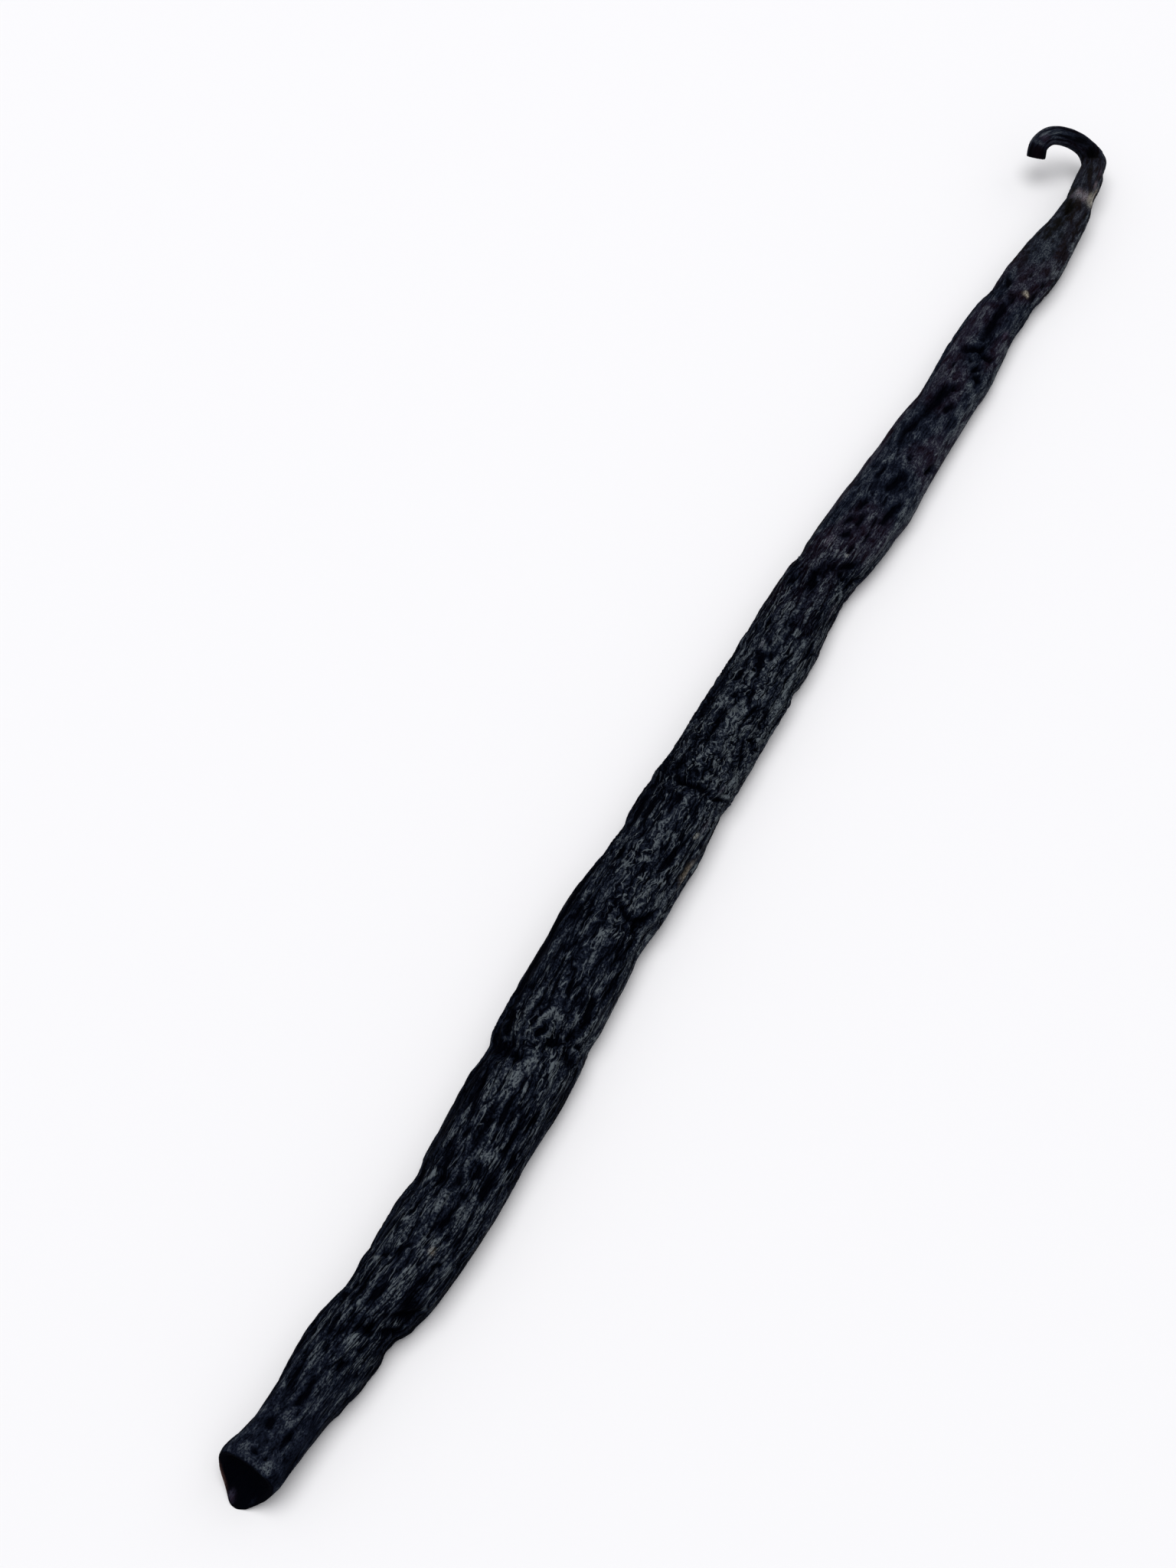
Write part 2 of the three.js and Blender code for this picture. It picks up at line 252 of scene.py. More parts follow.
# %% Pinches
# Distance, turn, degrees spanned, depth in mm (less than nothing for a swell), reach towards the blossom
# end, reach towards the stem, and slant along the pod for each 90 degrees of turn.
PINCHES = [
    (3.2, 5, 60, 0.45, 2.4, 2.4, 0), (7, 10, 70, 0.55, 4, 4, 0), (7.6, 180, 50, 0.12, 2, 1.6, 0),
    (10.5, 180, 50, -0.1, 1.2, 2, 0), (0, 235, 30, -0.35, 3, 4, 0), (16.3, 185, 45, 0.6, 2.2, 0.9, 0),
    (17.2, 130, 38, 0.75, 1.1, 0.8, 4.5), (18.3, 5, 55, 0.7, 3, 4.5, 0), (20.2, 5, 50, -0.18, 0.9, 0.9, 0),
    (20, 180, 60, -0.32, 1.4, 4, 2), (29, 15, 55, 0.4, 1.5, 1.4, -1), (35, 180, 60, 0.25, 4, 4, 0),
    (42.8, 20, 60, 0.45, 2, 1, 1.5), (46, 140, 50, 0.5, 1.2, 1.2, 1.5), (54, 0, 60, 0.2, 3, 3, 0),
    (57, 180, 45, 0.3, 1.5, 1.5, 0), (59, 135, 45, 0.5, 1.1, 1, 0), (65.5, 0, 60, 0.6, 4, 6, 0),
    (64, 180, 60, -0.2, 4, 4, 0), (69, 180, 50, -0.3, 2, 2.5, 0), (68.3, 0, 55, 0.3, 1.5, 0.9, 0),
    (72.4, 0, 55, 0.12, 1, 1, 0), (74.2, 95, 85, 0.5, 0.8, 0.9, 0.3), (77.2, 0, 50, 0.3, 1.2, 4, 0),
    (82, 110, 50, 0.3, 1.6, 1.6, 1.5), (90, 180, 40, 0.3, 0.8, 0.8, 0), (91, 40, 40, 0.2, 1.6, 1.6, -1),
    (99, 82, 16, 0.45, 3, 3, 0), (102.3, 175, 75, 0.85, 5, 4.5, 0.6), (104.6, 5, 45, 0.3, 1, 1.6, 0),
    (115.3, 180, 50, -0.2, 2, 2.5, 0), (117, 20, 60, 0.15, 2, 2, 1), (121.5, 5, 60, 0.15, 2, 2, 0),
    (130.5, 5, 60, 0.55, 3, 8.5, 0), (135, 180, 50, -0.25, 3, 3, 0), (137.2, 115, 45, 0.45, 1.2, 1, 0.6),
    (144.5, 180, 60, 0.5, 4, 5.5, 0), (147.4, 5, 60, 0.35, 1.6, 2, 0), (148, 180, 50, 0.2, 1.5, 2, 0),
    (154.1, 180, 60, -0.2, 3, 3, 0), (161.7, 0, 60, 0.4, 4.5, 3.5, 0),
    (163.6, 100, 200, 0.15, 0.8, 1.4, 0), (165, 180, 55, 0.35, 1.3, 1.5, 0),
    (168.6, 180, 40, 0.22, 0.5, 0.6, 0), (170.4, 180, 40, -0.15, 0.8, 0.8, 0)]


def half_turn(degrees):
    """A turn brought into the half circle on either side of zero."""
    return degrees - 360 * np.round(degrees / 360)


def bell(offset, reach):
    return np.exp(-(offset / reach) ** 2)


def ramp(value, start, end):
    """0 before start, 1 after end, and smooth between."""
    share = np.clip((value - start) / (end - start), 0, 1)
    return share * share * (3 - 2 * share)


def along_pod(distance, first, *changes):
    """A number that starts as `first` and changes by each amount over its own stretch of the pod."""
    return first + sum(amount * ramp(distance, start, end) for amount, start, end in changes)


def between(value, start, full, fading, end):
    """0 before start, 1 from full to fading, and 0 again after end."""
    return ramp(value, start, full) * (1 - ramp(value, fading, end))


def pinch_relief(distance, turn):
    relief = np.zeros(np.broadcast(distance, turn).shape)
    for at, middle, spread, depth, before, after, slant in PINCHES:
        around = half_turn(turn - middle)
        along = distance - at - slant * around / 90
        reach = np.where(along < 0, before, after)
        relief -= depth * bell(along, reach) * bell(around, spread)
    return relief


print(len(PINCHES), "pinches and swells, up to", max(pinch[3] for pinch in PINCHES), "mm deep")


# %% Main furrows
# Crest to valley in mm at the blossom end. Then come its changes, each with the distances in mm where it
# starts and ends: the skin is tauter towards the stem, and more so on the stem itself.
FURROW_DEPTH = (0.42, (-0.2, 95, 120), (-0.08, 158, 170))
FURROW_START = (-1, 6)     # mm over which the furrows come up out of the blossom end
FURROWS = 13               # ridges round the pod
MEAN_ARCH = 2 / math.pi    # the mean of a sine's absolute value, taken off so that the girth stays the same
PRESSED = 0.3              # the share of that depth left underneath
PRESSED_SPREAD = 40        # degrees either way
UNDERNEATH = 270           # degrees of turn
FURROW_WANDER = 13         # mm along the pod before a furrow bends aside
# Two waves bend the furrows: how far, then how fast they run along and round the pod, and where they start.
BENDS = [(0.9, 1, 2, 0), (0.7, 2.3, -1, 1)]
FADING = (0.32, 3.7, 3)    # a third wave makes them shallower here and there


def furrow_relief(distance, turn):
    around = np.radians(turn)
    along = distance / FURROW_WANDER
    wander = sum(far * np.sin(run * along + wind * around + start) for far, run, wind, start in BENDS)
    ridge = np.abs(np.sin(FURROWS * around / 2 + wander)) - MEAN_ARCH
    most, run, wind = FADING
    fade = 1 - most * (1 - np.sin(run * along + wind * around))
    pressed = 1 - (1 - PRESSED) * bell(half_turn(turn - UNDERNEATH), PRESSED_SPREAD)
    depth = along_pod(distance, *FURROW_DEPTH) * ramp(distance, *FURROW_START)
    return depth * pressed * fade * ridge


print(FURROWS, "furrows,", FURROW_DEPTH[0], "mm deep at most")


# %% [markdown]
# ## Rings
#
# The mesh is a stack of rings, from the middle of the blossom scar, over its rim, along the whole skin and
# in to the middle of the stem's cut. Points are dear, so they go where they are seen: the rings crowd
# together where the skin is crumpled, and each ring has its points closer together on the top than
# underneath.

# %% Ring spacing
SIDES = 116
SKIN_RINGS = 806
SCAR_RINGS = 18
CUT_RINGS = 8
# The hollows of the blossom scar and of the stem's cut: the size of a ring, and how many mm deep it lies.
SCAR_PROFILE = np.array([(0, 1.3), (0.4, 1.2), (0.62, 0.9), (0.78, 0.2), (0.9, 0)])
CUT_PROFILE = np.array([(0.92, 0), (0.6, 0.12), (0, 0.22)])
SCAR_SIZES = (0.02, 0.93)  # the innermost and outermost ring of the scar
CUT_SIZES = (0.96, 0.03)   # the outermost and innermost ring of the cut
END_GAP = 0.15             # mm from either end of the spine to the first ring of the skin
RIM_ROUNDING = 0.06        # the share by which the rim of the scar is drawn in
RIM_REACH = 0.5            # mm
TOP_CROWDING = 22          # degrees that the points lean towards the top
CROWDING = (1.1, 0.5)      # how much closer the rings are on a crumple and on the stem
STEM_CROWDED = (158, 168)  # mm over which they draw together at the stem
FACING_UP = 95.0           # degrees of turn
FINE_STEPS = 4000          # for adding up the crowding along the pod
MOST_CRUMPLED = 1.15

# Where the skin is crumpled: distance, turn, reach along the pod, degrees spanned, strength.
CRUMPLES = [
    (17, 150, 3, 50, 0.5), (29.5, 40, 2.5, 50, 0.35), (45.5, 95, 3.4, 100, 1.0), (59.5, 120, 3.2, 55, 0.9),
    (65.5, 80, 3.2, 80, 0.75), (74.5, 90, 2.4, 110, 0.9), (79.5, 95, 5.5, 110, 1.0),
    (88.5, 85, 5, 90, 0.7), (97, 80, 3, 60, 0.35), (103, 140, 2.6, 80, 0.8), (117, 30, 3, 50, 0.2),
    (131, 110, 3, 60, 0.35), (136.5, 120, 3.2, 70, 0.6), (147.5, 90, 3, 80, 0.4),
    (164.1, 100, 3, 160, 0.5)]


def crumpled(distance, turn):
    """How crumpled the skin is at a place, from 0 to about 1."""
    total = np.zeros(np.broadcast(distance, turn).shape)
    for at, middle, reach, spread, strength in CRUMPLES:
        total += strength * bell(distance - at, reach) * bell(half_turn(turn - middle), spread)
    return np.minimum(total, MOST_CRUMPLED)


def spread_rings(count, start, end):
    """Distances from start to end, closer together where the skin is crumpled and on the hooked stem."""
    fine = np.linspace(start, end, FINE_STEPS)
    on_crumples, on_stem = CROWDING
    crowding = 1 + on_crumples * crumpled(fine, FACING_UP) + on_stem * ramp(fine, *STEM_CROWDED)
    reached = np.concatenate([[0], np.cumsum((crowding[1:] + crowding[:-1]) / 2)])
    return np.interp(np.linspace(0, reached[-1], count), reached, fine)


def all_rings():
    """Every ring's distance along the spine and its size, where 1 is the full girth."""
    skin = spread_rings(SKIN_RINGS, END_GAP, SPINE_LENGTH - END_GAP)
    rim = 1 - RIM_ROUNDING * bell(skin, RIM_REACH)
    scar_size = np.linspace(*SCAR_SIZES, SCAR_RINGS)
    scar = np.interp(scar_size, *SCAR_PROFILE.T)
    cut_size = np.linspace(*CUT_SIZES, CUT_RINGS)
    cut = SPINE_LENGTH - np.interp(cut_size, *CUT_PROFILE[::-1].T)
    return np.concatenate([scar, skin, cut]), np.concatenate([scar_size, rim, cut_size])


ring_distance, ring_size = all_rings()
RINGS = len(ring_distance)
share_round = np.arange(SIDES) / SIDES
side_turn = 360 * share_round - 90 + TOP_CROWDING * np.sin(2 * math.pi * share_round)
print(RINGS, "rings of", SIDES, "points, about", round(2 * RINGS * SIDES / 1000), "thousand triangles")

# %% [markdown]
# ## Wrinkles
#
# Between the main furrows the skin is wrinkled all over. A Displace modifier could push the points with a
# noise texture, but its pattern wouldn't follow the pod round its hook. Here Blender's own noise is read
# in code, and its absolute value gives round crests between sharp valleys. Stretched along the pod it
# makes fine lengthwise folds, and squeezed it makes crumples. The points are laid on a tube in the noise,
# so that the pattern meets itself round the pod, and a slower noise pushes them about first, which makes
# the folds swirl and merge.

# %% Noise over the skin
NOISE_RADIUS = 3.4         # mm, about half the pod's width
SEED_SHIFT = (17.3, 5.1, -3.7)             # where each next seed lies in the noise
FOLD_WIDTH = 0.22          # the noise at which a fold has reached its crest
FOLD_CREST = 1.1
GROOVE_WIDTH = 0.3
ROUNDING = 0.6             # below 1 the crests are round and the valleys sharp
LOWERED = 0.7              # so that folds and plates average about nothing


def noise_over(places):
    """Smooth noise, about -0.7 to 0.7, at every place of an array."""
    flat = places.reshape(-1, 3).tolist()
    return np.array([noise.noise(place) for place in flat]).reshape(places.shape[:-1])


def tube_places(distance, turn, along, around, seed):
    """Places in the noise. One step of it is `along` mm of the pod's length and `around` mm of its round."""
    angle = np.radians(turn)
    x = distance / along + seed * SEED_SHIFT[0]
    y = NOISE_RADIUS * np.cos(angle) / around + seed * SEED_SHIFT[1]
    z = NOISE_RADIUS * np.sin(angle) / around + seed * SEED_SHIFT[2]
    return np.stack(np.broadcast_arrays(x, y, z), axis=-1)


def slow_noise(distance, turn, along, around, seed):
    return noise_over(tube_places(distance, turn, along, around, seed))


def push(distance, turn, amount, along, around, seed):
    """How far a slow noise pushes each place."""
    return amount * slow_noise(distance, turn, along, around, seed)


def folds(distance, turn, along, around, seed):
    """Round crests and sharp valleys, from -0.7 in a valley to 0.4 on a crest."""
    rough = np.abs(slow_noise(distance, turn, along, around, seed))
    return np.minimum((rough / FOLD_WIDTH) ** ROUNDING, FOLD_CREST) - LOWERED


def plates(distance, turn, along, around, seed):
    """Flat-topped plates with narrow grooves between them, from -0.7 in a groove to 0.3 on a plate."""
    places = tube_places(distance, turn, along, around, seed)
    nearest = [noise.voronoi(place)[0] for place in places.reshape(-1, 3).tolist()]
    first, second = np.array(nearest)[:, :2].T
    groove = np.minimum((second - first) / GROOVE_WIDTH, 1) ** ROUNDING
    return groove.reshape(places.shape[:-1]) - LOWERED


# %% Wrinkle relief
# Each kind of wrinkle: mm along the pod, mm round it, and seed. Below it is how deep it is, in mm.
LENGTHWISE, PLATED, FINE = (8.0, 0.9, 3), (4.0, 0.8, 4), (3.2, 0.42, 11)
LENGTHWISE_DEPTH, PLATED_DEPTH, FINE_DEPTH = 0.26, 0.14, 0.1
CRINKLED, CROSSWISE = (0.62, 0.9, 7), (1.5, 0.42, 8)
CRUMPLED_DEPTH = 0.26
# What moves them: how far, in mm along the pod or degrees round it, then mm along, mm round and seed.
PUSH_ALONG, PUSH_ROUND = (2.2, 5, 2.5, 1), (14, 6, 2.6, 2)
SLIDE, TWIST = (1.2, 1.3, 1.1, 6), (25, 1.6, 1.3, 5)
MORE_PUSH = 1.5            # how much further a crumple pushes them round
STRENGTHS = (0.9, 9, 3, 10)
MEAN_STRENGTH = 0.75
CRINKLED_PATCHES = (3, 1.8, 9)
PATCH_EDGE = (-0.15, 0.15)
# The share of their depth that wrinkles keep: less where the skin is taut, and least on the stem.
WRINKLE_SHARE = (1.0, (-0.5, 96, 112), (0.5, 126, 134), (-0.8, 158, 169))
WRINKLE_START = (-1, 3)    # mm over which they come up out of the blossom end
LESS_IN_CRUMPLES = 0.35
LESS_AT_SIDES = 0.5
SIDE_SPREAD = 0.3          # how far up and down the sides reach, where 1 is the top


def wrinkle_relief(distance, turn):
    crumple = crumpled(distance, turn)
    moved = distance + push(distance, turn, *PUSH_ALONG)
    turned = turn + push(distance, turn, *PUSH_ROUND) * (1 + MORE_PUSH * crumple)
    body = LENGTHWISE_DEPTH * folds(moved, turned, *LENGTHWISE)
    body += PLATED_DEPTH * plates(moved, turned, *PLATED)
    body += FINE_DEPTH * folds(moved, turned, *FINE)
    body *= (MEAN_STRENGTH + push(distance, turn, *STRENGTHS)) * along_pod(distance, *WRINKLE_SHARE)
    slid, twisted = moved + push(distance, turn, *SLIDE), turned + push(distance, turn, *TWIST)
    patch = ramp(slow_noise(distance, turn, *CRINKLED_PATCHES), *PATCH_EDGE)
    rumpled = folds(slid, twisted, *CRINKLED) * patch + folds(slid, twisted, *CROSSWISE) * (1 - patch)
    edge = 1 - LESS_AT_SIDES * bell(np.sin(np.radians(turn)), SIDE_SPREAD)
    both = body * (1 - LESS_IN_CRUMPLES * crumple) + CRUMPLED_DEPTH * crumple * rumpled
    return both * ramp(distance, *WRINKLE_START) * edge


# %% [markdown]
# ## Creases, pits and lips
#
# The deepest folds are drawn one by one. Each is a short line over the skin: a crease is a sharp valley
# with a low swelling beside it and painted shade inside, and a lip is a thin edge of skin that stands up,
# with a painted glint along it. Where the skin was folded right under there is a pit, painted dark as shade.
# They are lists of places, because no rule would put them where they are.

# %% Creases
# Half width in mm, then places as distance and turn.
CREASES = [
    (0.15, (2.8, 108), (4.2, 109), (5.9, 109)), (0.16, (6.3, 73), (8.2, 71), (10.4, 67), (11.6, 61)),
    (0.13, (6.7, 89), (7.6, 94), (9.0, 95), (10.7, 97)), (0.35, (14.8, 97), (15.4, 109), (15.3, 122)),
    (0.2, (15.3, 104), (15.8, 110), (16.4, 115)),
    (0.28, (15.8, 124), (16.4, 137), (16.8, 150), (17.0, 162)),
    (0.32, (17.5, 123), (18.1, 134), (18.8, 150), (19.3, 163)),
    (0.3, (18.3, 126), (19.3, 128), (20.6, 127)), (0.12, (17.2, 88), (18.2, 91), (19.3, 94)),
    (0.15, (16.4, 68), (17.8, 72), (19.3, 66)),
    (0.15, (20.8, 85), (21.5, 84), (22.4, 82), (23.2, 86), (24.4, 89)),
    (0.1, (20.2, 94), (21.0, 93), (23.9, 93)), (0.14, (24.5, 103), (26.0, 103), (27.4, 103), (29.1, 106)),
    (0.12, (25.4, 63), (26.4, 62), (28.3, 65)), (0.12, (30.0, 65), (31.5, 63), (33.0, 62), (35.2, 62)),
    (0.2, (33.6, 71), (34.3, 72), (35.2, 74)), (0.08, (28.8, 87), (29.9, 92), (30.9, 89), (31.7, 88)),
    (0.12, (31.9, 86), (34.0, 88), (36.0, 88), (38.2, 84)), (0.13, (30.4, 99), (31.1, 105), (31.8, 107)),
    (0.17, (31.3, 105), (31.8, 102), (32.1, 98)), (0.13, (35.8, 99), (37.0, 97), (39.0, 96)),
    (0.1, (35.4, 105), (37.2, 105), (38.6, 108)),
    (0.25, (28.9, 129), (30.0, 125), (31.5, 126), (32.9, 121)),
    (0.24, (33.5, 122), (36.0, 120), (39.2, 121)), (0.2, (35.7, 133), (37.5, 133), (39.2, 137)),
    (0.2, (33.1, 137), (34.9, 137)), (0.18, (22.8, 125), (23.5, 137)), (0.2, (20.8, 125), (22.3, 128)),
    (0.2, (36.3, 52), (38.5, 54), (40.6, 56)), (0.14, (27.6, 52), (28.6, 57), (29.1, 61)),
    (0.2, (41.2, 79), (42.5, 78), (43.9, 72), (45.2, 66)),
    (0.2, (44.4, 49), (46.0, 45), (48.2, 49), (49.6, 55), (52.2, 58)),
    (0.11, (45.9, 71), (47.8, 75), (49.7, 72)), (0.1, (46.0, 78), (47.5, 85), (49.9, 84)),
    (0.1, (44.5, 86), (45.6, 90), (47.6, 92)), (0.13, (48.1, 98), (50.0, 95), (52.1, 93)),
    (0.12, (48.3, 108), (49.8, 107), (51.4, 107)), (0.2, (46.3, 114), (46.2, 122), (47.9, 124)),
    (0.3, (46.8, 134), (48.5, 135), (50.3, 132)), (0.22, (45.8, 138), (46.0, 150), (45.7, 163)),
    (0.25, (50.3, 142), (52.4, 145), (54.3, 150)),
    (0.16, (53.5, 128), (55.5, 130), (57.4, 125), (59.0, 128)),
    (0.25, (54.3, 131), (56.5, 140), (58.4, 147)), (0.1, (51.8, 88), (54.0, 86), (57.0, 88), (59.2, 88)),
    (0.24, (60.0, 93), (59.8, 104), (59.3, 114), (59.2, 124)),
    (0.2, (59.3, 128), (58.6, 136), (58.0, 147)),
    (0.25, (59.2, 122), (59.7, 133), (60.7, 146), (61.8, 153)), (0.16, (56.3, 55), (58.0, 60), (59.7, 62)),
    (0.18, (64.1, 67), (65.8, 67)), (0.15, (66.3, 68), (69.0, 67), (71.0, 66), (74.3, 65)),
    (0.14, (66.7, 77), (68.8, 76)), (0.1, (61.6, 96), (63.5, 97), (65.3, 99)),
    (0.08, (63.4, 91), (65.0, 88), (66.2, 86)),
    (0.2, (64.0, 121), (65.2, 120), (66.8, 123), (68.0, 127), (69.9, 127)),
    (0.18, (64.1, 153), (66.4, 158), (68.7, 156)), (0.08, (70.0, 89), (71.6, 89), (74.4, 87)),
    (0.09, (71.2, 97), (72.5, 92), (73.3, 89)),
    (0.16, (74.4, 62), (74.8, 72), (74.6, 80), (74.5, 90), (74.6, 99), (74.9, 110), (74.8, 121),
     (74.4, 130)), (0.18, (74.4, 126), (74.5, 136), (74.9, 146), (75.2, 158), (75.4, 172)),
    (0.2, (74.9, 66), (75.8, 63), (76.5, 67), (77.4, 70)), (0.13, (75.0, 101), (75.7, 108), (76.5, 115)),
    (0.18, (78.9, 146), (79.7, 138), (81.2, 127)), (0.18, (79.2, 81), (80.2, 76), (80.9, 70)),
    (0.22, (80.2, 80), (81.2, 77), (83.6, 80)), (0.1, (81.3, 116), (82.6, 106), (83.4, 112), (85.3, 123)),
    (0.22, (82.1, 126), (82.2, 138), (82.7, 147)), (0.17, (81.2, 149), (81.8, 158), (82.1, 169)),
    (0.1, (84.5, 104), (85.3, 98), (86.9, 95), (88.0, 93)), (0.12, (83.4, 105), (84.9, 110), (86.5, 118)),
    (0.13, (86.3, 66), (88.0, 68), (90.1, 70)), (0.15, (88.3, 88), (89.5, 84), (90.7, 82), (92.2, 89)),
    (0.15, (90.3, 91), (92.5, 93), (94.0, 92), (96.0, 91), (100.2, 89)),
    (0.12, (90.6, 110), (91.6, 110), (93.1, 117)), (0.16, (92.4, 140), (94.0, 145), (95.3, 143)),
    (0.12, (93.9, 147), (94.6, 168)),
    (0.3, (100.0, 89), (101.2, 85), (102.6, 83), (103.3, 87), (105.6, 93)),
    (0.2, (100.0, 54), (101.9, 58)), (0.22, (104.0, 100), (105.0, 113), (105.8, 124), (106.5, 134)),
    (0.24, (103.9, 104), (103.9, 118), (103.8, 131)),
    (0.35, (102.9, 143), (104.2, 147), (104.9, 155), (105.5, 168)), (0.13, (107.7, 86), (109.1, 87)),
    (0.15, (109.5, 91), (112.1, 91)), (0.14, (109.4, 78), (111.1, 80)),
    (0.14, (111.7, 81), (113.0, 82), (113.8, 86)),
    (0.25, (111.7, 112), (112.0, 122), (113.9, 124), (115.1, 136)),
    (0.2, (115.2, 96), (116.5, 99), (118.9, 106)), (0.15, (116.2, 71), (117.5, 75), (119.0, 76)),
    (0.25, (121.7, 73), (123.5, 68), (124.5, 74), (126.2, 76)),
    (0.32, (125.9, 76), (128.0, 83), (130.0, 86), (131.4, 90), (132.1, 103)),
    (0.22, (127.8, 107), (129.7, 112)), (0.3, (133.7, 117), (134.1, 130), (134.2, 148)),
    (0.3, (134.6, 111), (135.4, 115), (136.2, 121)),
    (0.28, (136.7, 71), (137.5, 82), (137.9, 97), (138.2, 107)),
    (0.28, (138.1, 103), (137.6, 117), (137.8, 147)), (0.3, (120.1, 141), (121.0, 150), (121.9, 163)),
    (0.2, (138.6, 96), (141.0, 94), (144.0, 92), (147.2, 94)),
    (0.25, (160.6, 77), (161.7, 80), (162.7, 72)),
    (0.5, (170.7, 52), (170.7, 75), (170.6, 100), (170.3, 138))]
print(len(CREASES), "creases, from", CREASES[0][1][0], "to", CREASES[-1][1][0], "mm along the pod")

# %% Pits and lips
# Distance, turn, half length along the pod in mm, half its degrees round, and depth.
PITS = [
    (1.35, 88, 0.45, 4, 0.25), (1.5, 99, 0.4, 3, 0.25), (4.6, 80, 0.8, 8, 0.15), (11.1, 65, 0.5, 5, 0.3),
    (11.8, 109, 0.75, 6, 0.5), (12.3, 116, 0.4, 3, 0.3), (13.8, 117, 0.4, 5, 0.35),
    (12.3, 81, 0.4, 3, 0.2), (13.6, 72, 0.6, 4, 0.3), (6.5, 101, 0.3, 3, 0.15), (21.4, 66, 0.55, 7, 0.4),
    (23.7, 101, 0.4, 4, 0.3), (25.3, 92, 0.4, 3, 0.2), (29.5, 71, 0.65, 8, 0.6), (26.8, 132, 0.7, 4, 0.3),
    (34.3, 100, 0.8, 2.5, 0.3), (43.0, 58, 1.3, 10, 0.9), (42.4, 79, 0.5, 7, 0.3), (44.3, 52, 0.9, 6, 0.5),
    (45.1, 103, 0.65, 8, 0.6), (44.7, 137, 1.1, 9, 0.7), (42.6, 42, 0.8, 8, 0.3), (43.7, 67, 0.6, 6, 0.35),
    (45.3, 111, 0.45, 7, 0.35), (44.4, 148, 0.8, 8, 0.35), (45.6, 45, 0.7, 7, 0.25),
    (59.2, 132, 0.6, 8, 0.4), (74.6, 80, 0.3, 7, 0.4), (75.4, 66, 0.9, 3.5, 0.3), (85.4, 136, 0.6, 5, 0.3),
    (90.0, 134, 0.8, 4, 0.35), (94.9, 60, 0.8, 6, 0.2), (97.2, 131, 0.9, 4, 0.25),
    (104.3, 97, 0.6, 4, 0.35), (107.0, 103, 0.8, 3, 0.25), (109.3, 114, 1.1, 3, 0.15),
    (111.4, 108, 0.8, 3, 0.25), (114.5, 84, 0.4, 2.5, 0.2), (120.6, 98, 0.5, 5, 0.2),
    (131.8, 97, 0.5, 6, 0.35), (138.4, 103, 0.45, 6, 0.4), (136.0, 98, 0.5, 4, 0.15),
    (134.7, 77, 0.5, 4, 0.15), (140.9, 94, 0.5, 5, 0.15), (146.3, 96, 0.7, 4, 0.2),
    (148.4, 139, 0.9, 11, 0.2), (150.4, 138, 0.5, 10, 0.15), (148.5, 67, 0.7, 8, 0.15),
    (150.5, 97, 0.4, 4, 0.1)]

# Half width in mm, how bright its painted glint is, then places as distance and turn.
LIPS = [
    (0.1, 0.9, (45.2, 74), (45.5, 82), (46.2, 86), (47.0, 89), (47.7, 91)),
    (0.07, 0.7, (44.7, 68), (46.8, 67), (49.7, 71)), (0.07, 0.6, (43.8, 47), (44.3, 52), (45.1, 53)),
    (0.07, 0.9, (43.1, 74), (44.0, 72), (44.6, 70)), (0.1, 0.8, (42.4, 93), (42.9, 100)),
    (0.13, 1.5, (47.2, 99), (47.5, 98)), (0.08, 0.8, (46.9, 117), (48.3, 121)),
    (0.1, 0.7, (46.8, 46), (48.7, 50)), (0.1, 1.0, (57.3, 80), (57.3, 84), (57.7, 87)),
    (0.08, 0.8, (58.6, 54), (60.0, 56)), (0.12, 1.2, (56.3, 97), (57.0, 97)),
    (0.1, 0.8, (61.5, 112), (62.1, 118), (63.1, 124)), (0.07, 0.5, (60.2, 117), (61.4, 124)),
    (0.1, 0.6, (61.8, 145), (63.1, 136)), (0.08, 0.5, (62.9, 150), (64.6, 156)),
    (0.08, 0.9, (75.2, 101), (75.8, 106), (76.4, 113)), (0.14, 1.0, (78.6, 121), (79.9, 110)),
    (0.08, 0.5, (78.7, 106), (79.9, 101)), (0.1, 0.8, (75.2, 137), (75.6, 155), (75.7, 168)),
    (0.09, 0.5, (71.1, 100), (72.7, 97)), (0.07, 0.5, (66.2, 52), (66.6, 58), (66.2, 61)),
    (0.08, 0.4, (84.2, 67), (86.0, 72), (87.6, 76)), (0.09, 0.9, (82.7, 110), (83.5, 120)),
    (0.09, 0.8, (82.1, 114), (82.5, 121)), (0.1, 0.8, (93.9, 127), (94.9, 121)),
    (0.08, 0.8, (88.2, 143), (89.7, 142), (90.9, 140)), (0.08, 0.6, (92.0, 87), (93.2, 90), (95.8, 90)),
    (0.06, 0.5, (96.0, 89), (99.3, 88)), (0.07, 0.5, (91.4, 51), (91.5, 63)),
    (0.08, 0.5, (91.7, 82), (93.2, 86), (95.1, 83)), (0.07, 0.5, (27.0, 89), (28.5, 91), (29.6, 96)),
    (0.07, 0.5, (30.0, 98), (30.8, 93), (32.2, 90), (33.8, 93)),
    (0.15, 1.2, (101.8, 150), (102.3, 142), (102.8, 132)), (0.1, 0.5, (90.5, 96), (92.0, 107)),
    (0.1, 0.5, (103.9, 32), (103.5, 46)), (0.08, 0.7, (28.5, 126), (28.9, 133)),
    (0.12, 0.8, (37.4, 72), (38.2, 72)), (0.1, 0.5, (82.3, 125), (82.9, 138)),
    (0.1, 0.5, (83.1, 129), (83.7, 142)),
    (0.16, 0.4, (177.9, 62), (178.1, 90), (178.2, 115), (178.2, 140))]
print(len(PITS), "pits and", len(LIPS), "lips")

